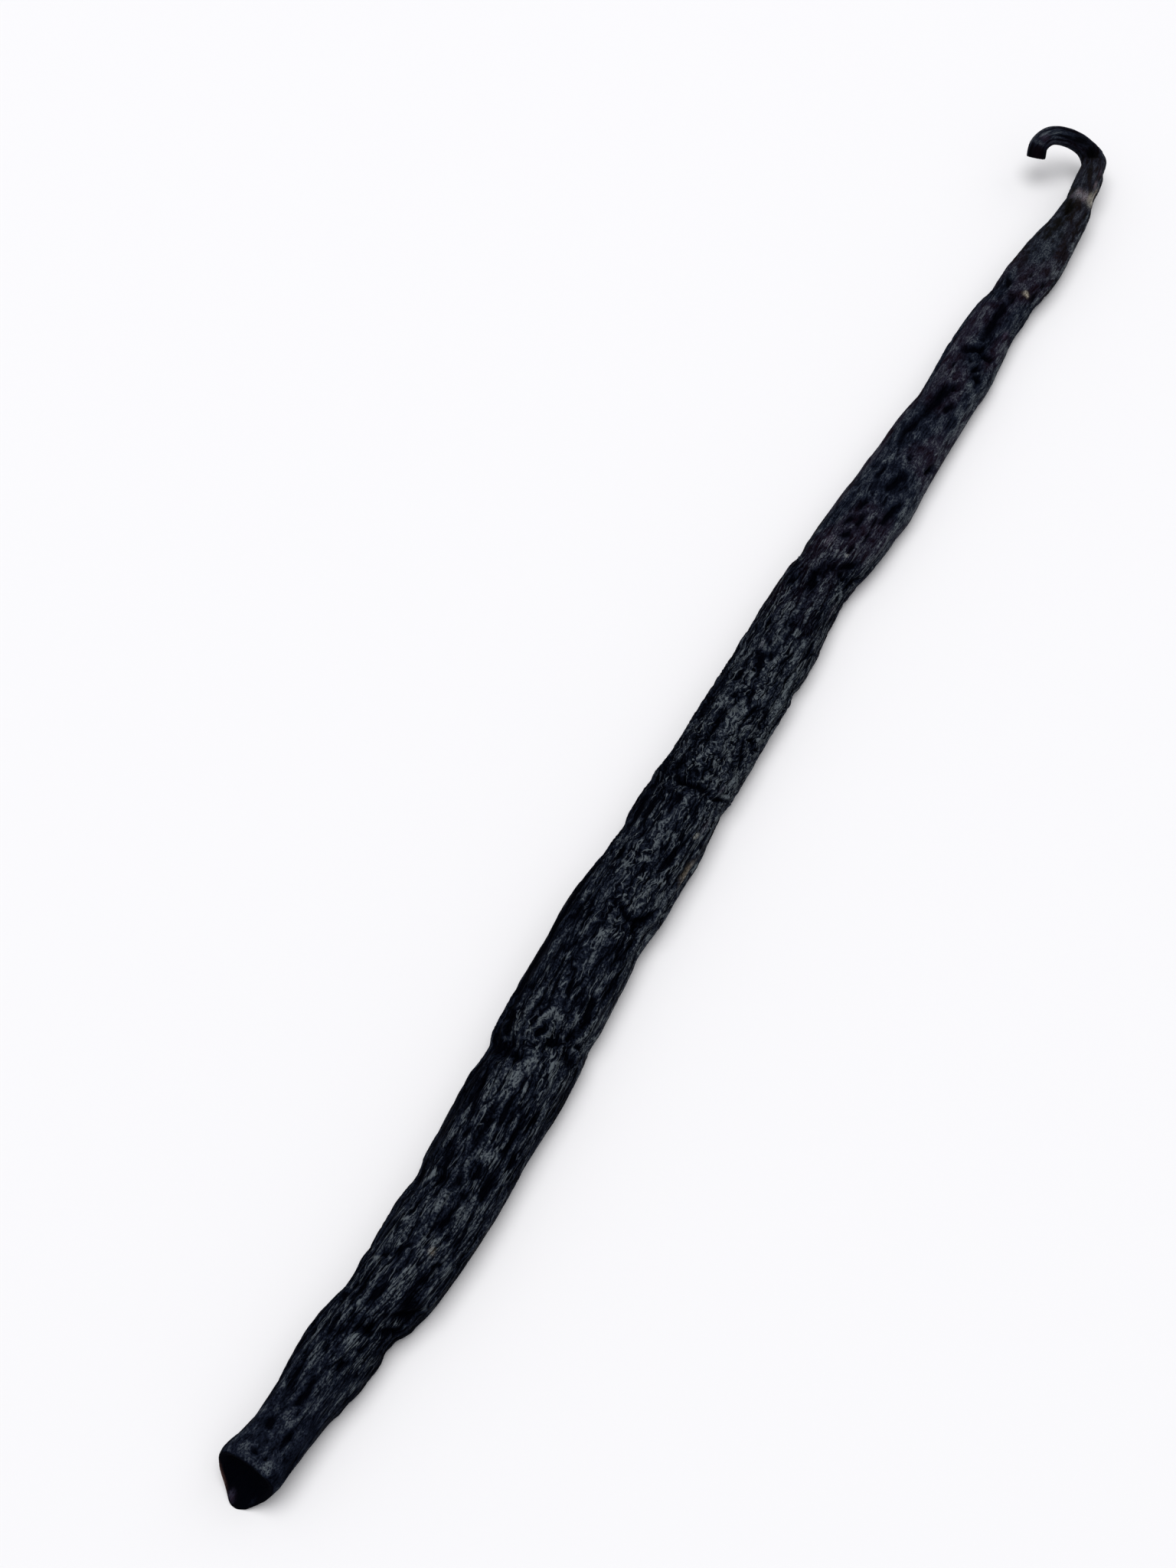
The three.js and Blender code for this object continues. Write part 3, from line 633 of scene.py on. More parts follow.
# %% Lines over the skin
LINE_STEPS = 14            # points for each stretch between two places of a line
LINE_REACH = 3.5           # mm from a line beyond which it does nothing
LINE_TAPER = 0.4           # the share of its width that a line never falls below
TAPER_CURVE = 0.4          # below 1 it soon reaches its full strength
TIP_PHASE = 0.1            # so that it doesn't end in nothing
FAR_AWAY = 99.0            # mm
# As shares of a line's half width.
CREASE_DEPTH = 2.2
CREASE_SHADOW = 1.5
SWELLING_PLACE = 2.1
SWELLING = 0.25            # a share of the crease's depth
LIP_HEIGHT = 1.4
LIP_WIDTH = 1.3
LIP_GLINT_WIDTH = 1.2
SHADOW_EDGE = 0.05         # mm by which the painted shade reaches beyond a crease
GLINT_EDGE = 0.02          # mm by which the painted glint reaches beyond a lip
SHADOW_CURVE, SPOT_CURVE = 3, 1.5          # the higher they are, the crisper the edge of a shadow or a spot


def smooth_line(places):
    """A smooth line through places, as mm along and degrees round."""
    knots = np.array(places, float)
    share = np.linspace(0, len(knots) - 1, LINE_STEPS * (len(knots) - 1) + 1)
    stations = np.column_stack([np.arange(len(knots)), knots])
    return np.stack([through(stations, column, share) for column in (1, 2)], axis=-1)


def near_line(places, distance, turn, radius):
    """How far each point is from a line in mm, and the line's strength there, which fades at its ends."""
    line = smooth_line(places)
    near = np.full(distance.shape, FAR_AWAY)
    strength = np.zeros(near.shape)
    rings = np.abs(distance[:, 0] - line[:, 0].mean()) < np.ptp(line[:, 0]) / 2 + LINE_REACH
    fades = np.sin(np.linspace(TIP_PHASE, math.pi - TIP_PHASE, len(line))) ** TAPER_CURVE
    for (at, middle), fade in zip(line, fades):
        across = np.radians(half_turn(turn[rings] - middle)) * radius[rings]
        away = np.hypot(distance[rings] - at, across)
        closer = away < near[rings]
        strength[rings] = np.where(closer, fade, strength[rings])
        near[rings] = np.where(closer, away, near[rings])
    return near, strength


def spot(distance, turn, at, middle, half_length, span):
    """A soft-edged round spot, 1 in the middle."""
    squared = ((distance - at) / half_length) ** 2 + (half_turn(turn - middle) / span) ** 2
    return np.exp(-squared ** SPOT_CURVE)


def fold_relief(distance, turn, radius):
    """The relief of the creases and pits, and the shade painted inside them."""
    relief = np.zeros(distance.shape)
    painted_fold_shade = np.zeros(distance.shape)
    for width, *places in CREASES:
        near, strength = near_line(places, distance, turn, radius)
        thin = width * (LINE_TAPER + (1 - LINE_TAPER) * strength)
        shape = SWELLING * bell(near - SWELLING_PLACE * thin, thin) - np.exp(-near / thin)
        relief += strength * CREASE_DEPTH * width * shape
        shadow = np.exp(-(near / (CREASE_SHADOW * thin + SHADOW_EDGE)) ** SHADOW_CURVE)
        painted_fold_shade = np.maximum(painted_fold_shade, strength * shadow)
    for at, middle, half_length, span, depth in PITS:
        inside = spot(distance, turn, at, middle, half_length, span)
        relief -= depth * inside
        painted_fold_shade = np.maximum(painted_fold_shade, inside)
    return relief, painted_fold_shade


def lips(distance, turn, radius):
    """The lips' relief, and their painted glint."""
    relief = np.zeros(distance.shape)
    painted_glint = np.zeros(distance.shape)
    for width, bright, *places in LIPS:
        near, strength = near_line(places, distance, turn, radius)
        relief += strength * LIP_HEIGHT * width * bell(near, LIP_WIDTH * width)
        painted_glint = np.maximum(painted_glint, strength * bright * bell(near, LIP_GLINT_WIDTH * width + GLINT_EDGE))
    return relief, painted_glint


# %% [markdown]
# ## The skin
#
# Each point goes out from the spine by the oval, and in or out by the relief. The blossom end is cut off
# aslant and three-cornered, where the flower dropped away and left a sunken scar. A boolean could cut such
# a face, but it would break up the even rings, so the rings themselves lean back and draw in there.

# %% Points of the skin
SCAR_SLANT = 0.62          # mm back along the pod for each mm of height
SLANT_RUN = 9              # mm over which the slant dies out
CORNER = 0.6               # mm that the lowest corner of the face stands forward
CORNER_SPREAD = 40         # degrees either way that the corner takes up
CORNER_RUN = 4             # mm
KEEL = 0.5                 # the blossom end is this share wider above and narrower below
KEEL_RUN = 16              # mm
# What makes the drawn lines ragged: how far in mm or degrees, then mm along, mm round and seed.
RAGGED_ALONG = (0.2, 0.8, 0.5, 31)
RAGGED_ROUND = (3.5, 0.9, 0.6, 32)


def rounded(value):
    return np.sign(value) * np.abs(value) ** SHOULDER


def fading(distance, run):
    """What the blossom end starts with and loses along the pod, from 1 down to 0."""
    return np.maximum(1 - distance / run, 0) ** 2


distance = ring_distance[:, None]
size = ring_size[:, None]
turn = side_turn[None, :]
half_width = through(GIRTH, WIDTH, ring_distance)[:, None] / 2
half_height = through(GIRTH, THICKNESS, ring_distance)[:, None] / 2


def skin_points(relief):
    """All the points of the skin, ring by ring, moved outwards by the relief."""
    cosine, sine = np.cos(np.radians(turn)), np.sin(np.radians(turn))
    outward = np.stack([cosine / half_width, sine / half_height])
    outward /= np.linalg.norm(outward, axis=0)
    keel = 1 + KEEL * fading(distance, KEEL_RUN) * sine
    left = size * (keel * half_width * rounded(cosine) + relief * outward[0])
    up = size * (half_height * rounded(sine) + relief * outward[1])
    corner = CORNER * size * fading(distance, CORNER_RUN)
    corner = corner * bell(half_turn(turn - UNDERNEATH), CORNER_SPREAD)
    along = SCAR_SLANT * fading(distance, SLANT_RUN) * up - corner
    forward, side, top = carried_frames(ring_distance).transpose(1, 0, 2)[:, :, None, :]
    points = spine_points(ring_distance)[:, None, :] + left[..., None] * side
    points += up[..., None] * top + along[..., None] * forward
    points[..., 2] = np.maximum(points[..., 2], 0)
    return points


radius = (half_width + half_height) / 2
furrows = furrow_relief(distance, turn)
pinches = pinch_relief(distance, turn)
wrinkles = wrinkle_relief(distance, turn)
ragged_distance = distance + push(distance, turn, *RAGGED_ALONG)
ragged_turn = turn + push(distance, turn, *RAGGED_ROUND)
# The second value is the shade painted inside the creases and pits.
creases, painted_fold_shade = fold_relief(ragged_distance, ragged_turn, radius)
lip_relief, lip_glint = lips(ragged_distance, ragged_turn, radius)
fine_relief = wrinkles + creases + lip_relief

plain = skin_points(furrows + pinches).reshape(-1, 3)
shift = (pod_low + pod_high) / 2 - (plain.min(axis=0) + plain.max(axis=0)) / 2
shift[2] = pod_low[2] - plain[:, 2].min()
points = skin_points(furrows + pinches + fine_relief) + shift
points[..., 2] = np.maximum(points[..., 2], 0)
print("moved into the model's place by", shift.round(2), "mm")
print("fine relief from", fine_relief.min().round(2), "to", fine_relief.max().round(2), "mm")


# %% The mesh
def ring_faces():
    """Four-cornered faces between neighbouring rings, all facing outwards."""
    ring, side = np.meshgrid(np.arange(RINGS - 1), np.arange(SIDES), indexing="ij")
    beside = (side + 1) % SIDES
    here, ahead = ring * SIDES, (ring + 1) * SIDES
    return np.stack([here + side, here + beside, ahead + beside, ahead + side], axis=-1).reshape(-1, 4)


def make_skin():
    count = RINGS * SIDES
    ends = np.array([points[0].mean(axis=0), points[-1].mean(axis=0)])
    places = np.concatenate([points.reshape(-1, 3), ends]) * MM
    sides = range(SIDES)
    last = (RINGS - 1) * SIDES
    fans = [((side + 1) % SIDES, side, count) for side in sides]
    fans += [(last + side, last + (side + 1) % SIDES, count + 1) for side in sides]
    mesh = bpy.data.meshes.new("pod_skin")
    mesh.from_pydata(places.tolist(), [], ring_faces().tolist() + fans)
    mesh.shade_smooth()
    skin = bpy.data.objects.new("pod_skin", mesh)
    bpy.context.collection.objects.link(skin)
    return skin


skin = make_skin()
print(len(skin.data.polygons), "faces")

# %% [markdown]
# ## What the finish needs to know
#
# A material can't tell a crest from a valley, so the mesh carries a few numbers for each of its points:
# how much sheen is painted on its crests and shade in its folds, where a painted glint lies on a lip or a
# pale speck stands out, how crumpled and how calm the skin is, and what stains it. They could be painted on
# by hand, but worked out from the relief they always fit it. Each point's place on the tube in the noise
# goes with them, so that the finest grain also follows the skin round the hook.

# %% Painted sheen and shade, and stains
# Distance, turn, half length in mm, half its degrees round, and how much lighter, as painted sheen and
# glints with a few pale specks of the skin's own (below 0 it is darker, as painted shade).
SHEEN_AND_SHADE_SPOTS = [
    (1.1, 108, 0.6, 5, 0.15), (3.3, 118, 0.3, 5, 0.2), (4.9, 100, 1.0, 4, 0.25), (5.0, 120, 1.0, 4, 0.2),
    (6.6, 60, 0.4, 5, 0.3), (7.6, 82, 1.5, 5, 0.25), (9.6, 104, 1.0, 5, 0.35), (8.5, 118, 1.4, 7, 0.2),
    (12.6, 63, 0.6, 9, 0.35), (13.6, 103, 0.8, 6, 0.35), (13.8, 136, 1.2, 7, 0.3), (15.3, 82, 0.5, 4, 0.3),
    (17.4, 108, 0.4, 10, 0.3), (19.6, 111, 1.6, 7, 0.5), (22.6, 74, 0.5, 7, 0.35),
    (23.75, 111, 0.3, 4, 0.8), (24.8, 58, 0.35, 4, 0.6), (26.5, 80, 0.8, 5, 0.3), (28.3, 80, 1.0, 5, 0.3),
    (31.3, 71, 1.0, 5, 0.5), (33.0, 58, 1.6, 3, 0.4), (36.8, 69, 0.8, 3, 0.4), (32.6, 112, 1.4, 4, 0.5),
    (34.9, 112, 0.8, 4, 0.6), (29.5, 112, 0.5, 3, 0.4), (27.7, 118, 0.7, 6, 0.5), (28.9, 123, 0.5, 3, 0.6),
    (35.6, 94, 0.8, 2.5, 0.45), (37.6, 93, 0.8, 2, 0.45), (36.5, 139, 0.8, 1.8, 0.7),
    (38.3, 46, 1.2, 3, 0.45), (39.6, 124, 0.6, 3, 0.5), (39.4, 106, 0.3, 2, 0.6), (21.3, 98, 1.0, 3, 0.3),
    (41.6, 117, 1.5, 9, 0.6), (41.2, 92, 0.8, 6, 0.25), (41.0, 70, 1.0, 5, 0.4), (45.2, 39, 1.4, 6, 0.6),
    (47.0, 106, 1.2, 5, 0.5), (49.0, 79.5, 0.9, 2, 0.6), (47.0, 80.5, 0.8, 2, 0.4),
    (50.0, 48, 0.7, 3, 0.8), (50.4, 61, 0.7, 2, 0.6), (51.8, 63, 0.2, 3, 0.7), (48.1, 61, 0.25, 2.5, 0.7),
    (53.2, 53, 0.15, 3, 0.8), (54.2, 52, 0.5, 5, 0.4), (50.6, 102, 0.5, 4, 0.5), (50.5, 115, 0.5, 4, 0.5),
    (49.0, 124, 1.0, 8, 0.3), (56.2, 101, 0.4, 3, 0.5), (57.2, 104, 0.5, 3, 0.4), (54.0, 152, 0.4, 6, 0.6),
    (49.3, 154, 0.7, 3, 0.8), (51.8, 162, 1.4, 2.5, 0.9), (57.9, 153, 0.9, 2.5, 0.8),
    (58.5, 160, 0.3, 6, 0.9), (59.0, 141, 0.5, 3, 0.6), (59.4, 129, 0.15, 5, 0.7),
    (54.8, 136, 0.3, 2, 0.9), (63.2, 75, 0.6, 2.5, 0.6), (64.1, 79.5, 0.35, 1.5, 1.2),
    (65.05, 91, 0.2, 1.5, 1.2), (65.4, 97.5, 0.3, 2, 1.2), (67.0, 97, 0.45, 1.8, 1.1),
    (70.0, 73, 0.5, 3, 0.5), (70.7, 86, 0.5, 2, 0.6), (73.5, 78, 0.6, 5, 0.4), (63.5, 101, 1.4, 3.5, 0.45),
    (61.5, 144, 0.5, 2.5, 0.7), (62.8, 137, 0.35, 2.5, 0.5), (66.5, 164, 1.7, 6, 0.7),
    (70.1, 138, 0.35, 3, 1.2), (72.0, 147, 1.6, 6, 0.6), (76.9, 81, 0.6, 5, 0.5), (76.2, 91, 0.6, 3, 0.4),
    (75.9, 117, 0.6, 5, 0.4), (79.6, 58, 0.3, 5, 0.5), (75.9, 45, 0.2, 6, 0.5), (80.4, 53, 0.3, 4, 0.5),
    (84.1, 66, 0.3, 2.5, 1.1), (84.0, 89, 0.35, 2, 1.1), (85.2, 92, 0.5, 1.5, 1.0),
    (84.4, 98.5, 0.5, 1.5, 1.1), (83.2, 96, 0.2, 1.5, 1.1), (82.3, 101, 0.45, 1.2, 1.0),
    (80.3, 103.5, 0.35, 1.5, 1.0), (81.5, 108, 0.3, 2, 0.9), (86.3, 132, 0.4, 5, 0.9),
    (87.3, 134, 0.3, 5, 0.6), (86.3, 103, 0.2, 1.8, 1.1), (87.7, 101, 0.45, 3, 0.8),
    (89.1, 103, 0.25, 1.5, 0.9), (88.65, 77, 0.25, 3, 0.7), (89.1, 53, 0.3, 4, 0.7),
    (90.3, 104, 0.5, 3, 0.6), (92.4, 105, 0.4, 3, 0.5), (92.3, 71, 0.6, 2.5, 1.2),
    (92.2, 77, 0.4, 1.3, 1.0), (89.3, 126, 0.9, 5, 0.45), (89.6, 60, 0.5, 7, 0.4),
    (91.6, 156, 1.0, 7, 0.6), (95.0, 157, 1.6, 6, 0.5), (99.9, 150, 1.0, 8, 0.9),
    (86.5, 157, 2.5, 7, 0.45), (98.8, 74, 1.0, 7, 0.35), (104.0, 80, 0.3, 3, 0.6),
    (106.15, 103, 0.2, 3, 1.3), (106.9, 70, 0.9, 9, 0.75), (110.0, 62, 0.7, 7, 0.6),
    (118.9, 70, 0.25, 2, 1.0), (118.1, 119, 0.7, 5, 0.7), (111.4, 99, 0.4, 1.5, 0.5),
    (110.3, 132, 1.0, 6, 0.45), (103.8, 137, 0.35, 2.5, 0.7), (105.2, 139, 0.7, 4, 0.5),
    (112.2, 145, 1.2, 4, 0.5), (113.0, 155, 7.0, 9, 0.35), (114.5, 108, 1.2, 7, 0.3),
    (116.0, 52, 3.0, 8, 0.35), (133.3, 84, 0.9, 4, 0.5), (132.8, 119, 0.7, 5, 0.45),
    (137.2, 63, 0.5, 9, 0.5), (138.5, 87, 0.4, 5, 0.6), (123.6, 94, 0.6, 4, 0.35),
    (125.5, 129, 0.9, 3, 0.6), (122.7, 122, 1.0, 7, 0.4), (126.5, 155, 4.5, 12, 0.6),
    (133.2, 150, 0.6, 7, 0.6), (139.5, 150, 1.0, 10, 0.5), (128.8, 124, 0.8, 6, 0.3),
    (121.0, 67, 0.8, 4, 0.3), (136.7, 112, 0.5, 7, 0.3), (148.3, 110, 0.7, 5, 0.4),
    (142.4, 88, 0.5, 3, 0.6), (143.2, 78, 0.4, 4, 0.4), (146.6, 68, 0.7, 6, 0.4),
    (144.8, 132, 0.4, 9, 0.6), (147.0, 142, 0.25, 9, 0.5), (153, 138, 0.5, 9, 0.6),
    (152.6, 61, 0.25, 8, 0.5), (155.9, 74, 0.5, 5, 0.4), (141.7, 130, 0.6, 5, 0.4),
    (146.0, 160, 4.0, 8, 0.5), (150.5, 118, 0.6, 5, 0.3), (172.0, 90, 2.9, 90, -0.6),
    (177.0, 104, 1.1, 36, 0.95), (168, 125, 0.6, 14, 0.35), (157.6, 105, 0.6, 12, -0.6),
    (159.1, 88, 0.4, 7, -0.6), (174.3, 78, 1.4, 18, -0.6), (179.4, 90, 1.3, 90, -0.95),
    (164.1, 92, 0.7, 45, 0.3), (3.0, 136, 4.0, 14, -0.7), (142.0, 103, 1.2, 7, -0.6),
    (70.5, 48, 3.0, 9, -0.8), (48.0, 36, 27.0, 13, -0.7)]

TAN = (0.1, 0.085, 0.066)
CREAM = (0.15, 0.14, 0.115)
MAUVE = (0.06, 0.048, 0.053)
ROSE = (0.05, 0.027, 0.024)
PLUM = (0.014, 0.008, 0.013)
HAZE = (0.036, 0.032, 0.033)
RUST = (0.085, 0.045, 0.038)
# Place and size as above, then the colour that is laid over the black.
STAINS = [
    (163.6, 62, 0.4, 9, PLUM), (164.5, 80, 0.5, 11, MAUVE), (164.1, 90, 0.75, 38, HAZE),
    (164.1, 106, 0.6, 12, MAUVE), (164.3, 156, 0.9, 16, TAN), (164.2, 134, 0.95, 18, CREAM),
    (165.3, 150, 0.9, 12, TAN), (166.2, 128, 0.6, 8, MAUVE), (168.1, 132, 0.6, 10, PLUM),
    (66.5, 165, 1.6, 6, TAN), (71.6, 148, 1.0, 4, PLUM), (70.1, 138, 0.35, 3, CREAM),
    (75.7, 135, 0.4, 3, PLUM), (148.05, 115, 0.28, 8, CREAM), (148.0, 115, 0.3, 9, TAN),
    (106.9, 70, 0.8, 8, PLUM), (106.15, 103, 0.18, 2.5, TAN), (92.3, 72, 0.5, 3, PLUM),
    (23.75, 111, 0.25, 4, TAN), (177.4, 100, 0.4, 20, PLUM), (0.1, 345, 0.4, 24, ROSE),
    (141.7, 130, 0.6, 5, PLUM), (100.0, 150, 1.0, 8, PLUM)]

# Painted light on facets inside the blossom scar: how far out towards the rim, turn, half size, half its
# degrees round, and so on.
SCAR_PAINTED_LIGHT = [
    (0.84, 286, 0.09, 18, 0.22), (0.72, 60, 0.05, 12, 0.1), (0.8, 225, 0.06, 20, 0.08),
    (0.93, 108, 0.07, 10, 0.18)]
SCAR_STAINS = [(0.92, 338, 0.045, 26, RUST), (0.84, 288, 0.08, 16, PLUM)]
SCAR_EDGE = (0.925, 0.95)  # sizes of a ring between which the black of the scar gives way to skin
blossom_end = distance < SPINE_LENGTH / 2
print(len(SHEEN_AND_SHADE_SPOTS), "shades and", len(STAINS), "stains")

# %% Painted sheen on the crests, and painted shade in valleys and on flanks
# The value at the blossom end, then its changes, each with the distances in mm where it starts and ends.
CREST_GREY = (0.335, (0.04, 14, 30), (0.005, 38, 48), (-0.03, 96, 110), (-0.05, 118, 150))
VALLEY_SHARE = (0.34, (-0.12, 36, 46))     # how grey a valley is, beside a crest: the rest is painted shade
FLANK_SHARE = (0.4, (0.45, 90, 115))       # how grey a flank is, beside the top: the rest is painted shade
LIT_FLANK = (0.0, (0.2, 38, 50))           # painted light added on the right flank
MARK_GREY = (0.3, (0.12, 36, 46))          # what a painted sheen spot of 1 adds on a crest
EVENING_OUT = (0.0, (0.45, 144, 162))      # on the stem, crests and valleys are more alike
EVEN_CREST = 0.6
DULL = (0.1, 54, 10)       # how much less painted sheen a stretch has, where, and its reach in mm
CREST_EDGE = (-0.22, 0.08)                 # mm of relief from valley to crest
FURROW_WEIGHT = 0.2        # how much the main furrows count beside the wrinkles
GREY_PATCHES = (0.12, 5, 2.2, 20)          # how strong, then mm along, mm round and seed
TOP_TURNS = (25, 66, 136, 185)             # the top, with the most painted sheen: degrees where it begins, is full, fades and ends
LIT_TURNS = (132, 148, 172, 205)
MARK_CURVE = 1.6           # above 1, weak spots stay weaker
MARK_IN_VALLEY = 0.3       # the share of a spot that shows in a valley
GREYEST = 1.4


def painted_sheen_and_shade():
    """How grey the skin is painted: sheen on the crests of the top and in patches, shade in valleys and
    creases.
    """
    crest = ramp(wrinkles + FURROW_WEIGHT * furrows, *CREST_EDGE)
    crest = crest + (EVEN_CREST - crest) * along_pod(distance, *EVENING_OUT)
    top = between(turn, *TOP_TURNS)
    flank = top + (1 - top) * along_pod(distance, *FLANK_SHARE)
    duller, dull_place, dull_reach = DULL
    level = along_pod(distance, *CREST_GREY) - duller * bell(distance - dull_place, dull_reach)
    valley = along_pod(distance, *VALLEY_SHARE)
    grey = level * (valley + (1 - valley) * crest) * (1 + push(distance, turn, *GREY_PATCHES)) * flank
    grey = grey + along_pod(distance, *LIT_FLANK) * between(turn, *LIT_TURNS)
    glow = along_pod(distance, *MARK_GREY) * (MARK_IN_VALLEY + (1 - MARK_IN_VALLEY) * crest)
    for at, middle, half_length, span, amount in SHEEN_AND_SHADE_SPOTS:
        shade = amount * spot(ragged_distance, ragged_turn, at, middle, half_length, span)
        grey = grey * (1 + np.minimum(shade, 0)) + glow * np.maximum(shade, 0) ** MARK_CURVE
    grey = grey * ramp(size, *SCAR_EDGE)
    for far_out, middle, half_size, span, amount in SCAR_PAINTED_LIGHT:
        grey = grey + amount * spot(size, turn, far_out, middle, half_size, span) * blossom_end
    return np.clip(grey, 0, GREYEST) * (1 - painted_fold_shade)


# %% Painted glints, pale specks and stains
PALE = 1.0                 # from this amount up, a spot is drawn nearly as pale as a lip's painted glint
PALE_SHARE = 0.75          # how pale, beside its amount
# The smallest speck that the points of the mesh can show, as half its length in mm and half its degrees.
SPECK_LENGTH, SPECK_SPAN = 0.22, 3.0
# Two tints, and how much of each there is: at the blossom end, then its changes as above.
STEM_TINT = (0.0035, 0.003, 0.001)
STEM_SHARE = (0.0, (1.0, 144, 160), (-0.8, 168, 172))
REDDISH = (0.0045, 0.0012, 0.002)          # the stem half of the pod is a little redder, in patches
REDDISH_SHARE = (0.0, (1.0, 90, 112), (-0.6, 148, 160))
REDDISH_PATCHES = (6, 3, 41)               # mm along, mm round and seed
REDDISH_EDGE = (-0.25, 0.2)


def glints_and_pale_specks():
    """The brightest spots: painted glints on edges of skin, and pale specks of the skin's own."""
    marks = np.zeros(distance.shape)
    for at, middle, half_length, span, amount in SHEEN_AND_SHADE_SPOTS:
        if amount >= PALE:
            speck = spot(distance, turn, at, middle, max(half_length, SPECK_LENGTH), max(span, SPECK_SPAN))
            marks = np.maximum(marks, PALE_SHARE * amount * speck)
    return marks


def tinted(share, colour):
    """A colour in the share that each point has of it."""
    return share[..., None] * np.array(colour)


def stained():
    """The colour that is added to the skin: a reddish or brownish cast, and the stains."""
    patches = ramp(slow_noise(distance, turn, *REDDISH_PATCHES), *REDDISH_EDGE)
    colour = tinted(patches * along_pod(distance, *REDDISH_SHARE) * (1 - painted_fold_shade), REDDISH)
    for at, middle, half_length, span, stain in STAINS:
        colour += tinted(spot(ragged_distance, ragged_turn, at, middle, half_length, span), stain)
    colour += tinted(along_pod(distance, *STEM_SHARE), STEM_TINT)
    colour *= ramp(size, *SCAR_EDGE)[..., None]
    for far_out, middle, half_size, span, stain in SCAR_STAINS:
        colour += tinted(spot(size, turn, far_out, middle, half_size, span) * blossom_end, stain)
    return colour


# %% Numbers for the finish
# How little the grain stands out: at the blossom end, then its changes as above.
CALM = (0.8, (-0.8, 3, 14), (0.7, 98, 116), (0.3, 145, 155))


def keep(name, values):
    """One number, or three, for each point of the skin. The two end points take the mean of their ring."""
    flat = values.reshape(RINGS * SIDES, -1)
    ends = np.array([flat[:SIDES].mean(axis=0), flat[-SIDES:].mean(axis=0)])
    kind, field = ("FLOAT", "value") if flat.shape[1] == 1 else ("FLOAT_VECTOR", "vector")
    layer = skin.data.attributes.new(name, kind, "POINT")
    layer.data.foreach_set(field, np.concatenate([flat, ends]).astype(np.float32).ravel())


tube = tube_places(distance, turn, 1, 1, 0)
tube[..., 1:] *= size[..., None]           # so that the grain runs on evenly over the two end faces
sheen_and_shade_grey = painted_sheen_and_shade()
# The painted sheen on the crests and painted shade in the folds.
keep("gleam", sheen_and_shade_grey)
# Painted glints on the lips and on the brightest spots.
keep("painted_glint", np.maximum(lip_glint, glints_and_pale_specks()))
keep("crumple", crumpled(distance, turn))
keep("calm", along_pod(distance, *CALM) + 0 * turn)
keep("stain", stained())
keep("tube", tube)
print("rubbed grey, mean:", sheen_and_shade_grey.mean().round(2))

# %% [markdown]
# ## The finish
#
# The skin is painted blue-black in its folds, as shade, and a cold dark grey on its crests, as the sheen of
# its film of oil. It could be one flat black with a strong gloss, but that would look like plastic: on a
# real pod the film is broken up into countless small dull gleams. So the gleams are painted into the colour
# here, as painted sheen and glints. Fine grooves and fibres break them up, and the gloss itself is weak.

# %% Helpers for a material
def add_node(tree, kind, settings=(), **inputs):
    """A new node, its settings, and its inputs, where a socket is linked and a number is set."""
    node = tree.nodes.new(kind)
    for name, value in dict(settings).items():
        setattr(node, name, value)
    for name, value in inputs.items():
        join(tree, value, node.inputs[name.replace("_", " ")])
    return node


def join(tree, value, socket):
    if isinstance(value, bpy.types.NodeSocket):
        tree.links.new(value, socket)
    else:
        socket.default_value = value


def worked_out(tree, operation, first, second=0.0):
    """Two values put together by a Math node."""
    node = add_node(tree, "ShaderNodeMath", {"operation": operation})
    join(tree, first, node.inputs[0])
    join(tree, second, node.inputs[1])
    return node.outputs[0]


def kept(tree, name, output="Fac"):
    """What the mesh keeps for each point: a number, or a vector."""
    return add_node(tree, "ShaderNodeAttribute", {"attribute_name": name}).outputs[output]


def times(tree, first, *others):
    for other in others:
        first = worked_out(tree, "MULTIPLY", first, other)
    return first


def spread_out(tree, value, low, high, to_low=0.0, to_high=1.0):
    """A value brought from one range into another, and kept inside it."""
    ranged = add_node(tree, "ShaderNodeMapRange", Value=value, To_Min=to_low, To_Max=to_high)
    ranged.inputs["From Min"].default_value = low
    ranged.inputs["From Max"].default_value = high
    return ranged.outputs[0]


def opposite(tree, value):
    return spread_out(tree, value, 0, 1, 1, 0)


def blend(tree, share, first, second):
    mixed = tree.nodes.new("ShaderNodeMix")
    join(tree, share, mixed.inputs[0])
    join(tree, first, mixed.inputs[2])
    join(tree, second, mixed.inputs[3])
    return mixed.outputs[0]


def vectors(tree, operation, first, second, socket=1):
    """Two vectors, or a vector and a number for Scale, put together by a Vector Math node."""
    node = add_node(tree, "ShaderNodeVectorMath", {"operation": operation})
    join(tree, first, node.inputs[0])
    join(tree, second, node.inputs[socket])
    return node.outputs[0]


# %% Patterns
# Each pattern: its size across the pod in mm, how many times longer it is along the pod, and its detail.
FIBRES, BLOTCHES = (0.12, 2.0, 2.0), (0.6, 7.0, 2.0)
CLOUDS, STROKE_PATCHES = (1.0, 1.5, 2.0), (0.8, 3.0, 1.0)
GRAIN_ROUGHNESS = 0.6
# The same for thin lines, with their width in the noise in place of the detail.
GROOVES, THIN_GROOVES, STROKES = (0.8, 8.0, 0.07), (0.4, 6.0, 0.08), (0.42, 6.0, 0.04)
LINE_DETAIL = 1.5
SWIRL_SIZE = 1.2           # mm
SWIRL_PUSH = (0.1, 0.9, 0.06, 0.55)        # two values of crumple, and how many mm it pushes at each
SWIRL_DETAIL = 2.0
NOISE_MIDDLE = 0.5


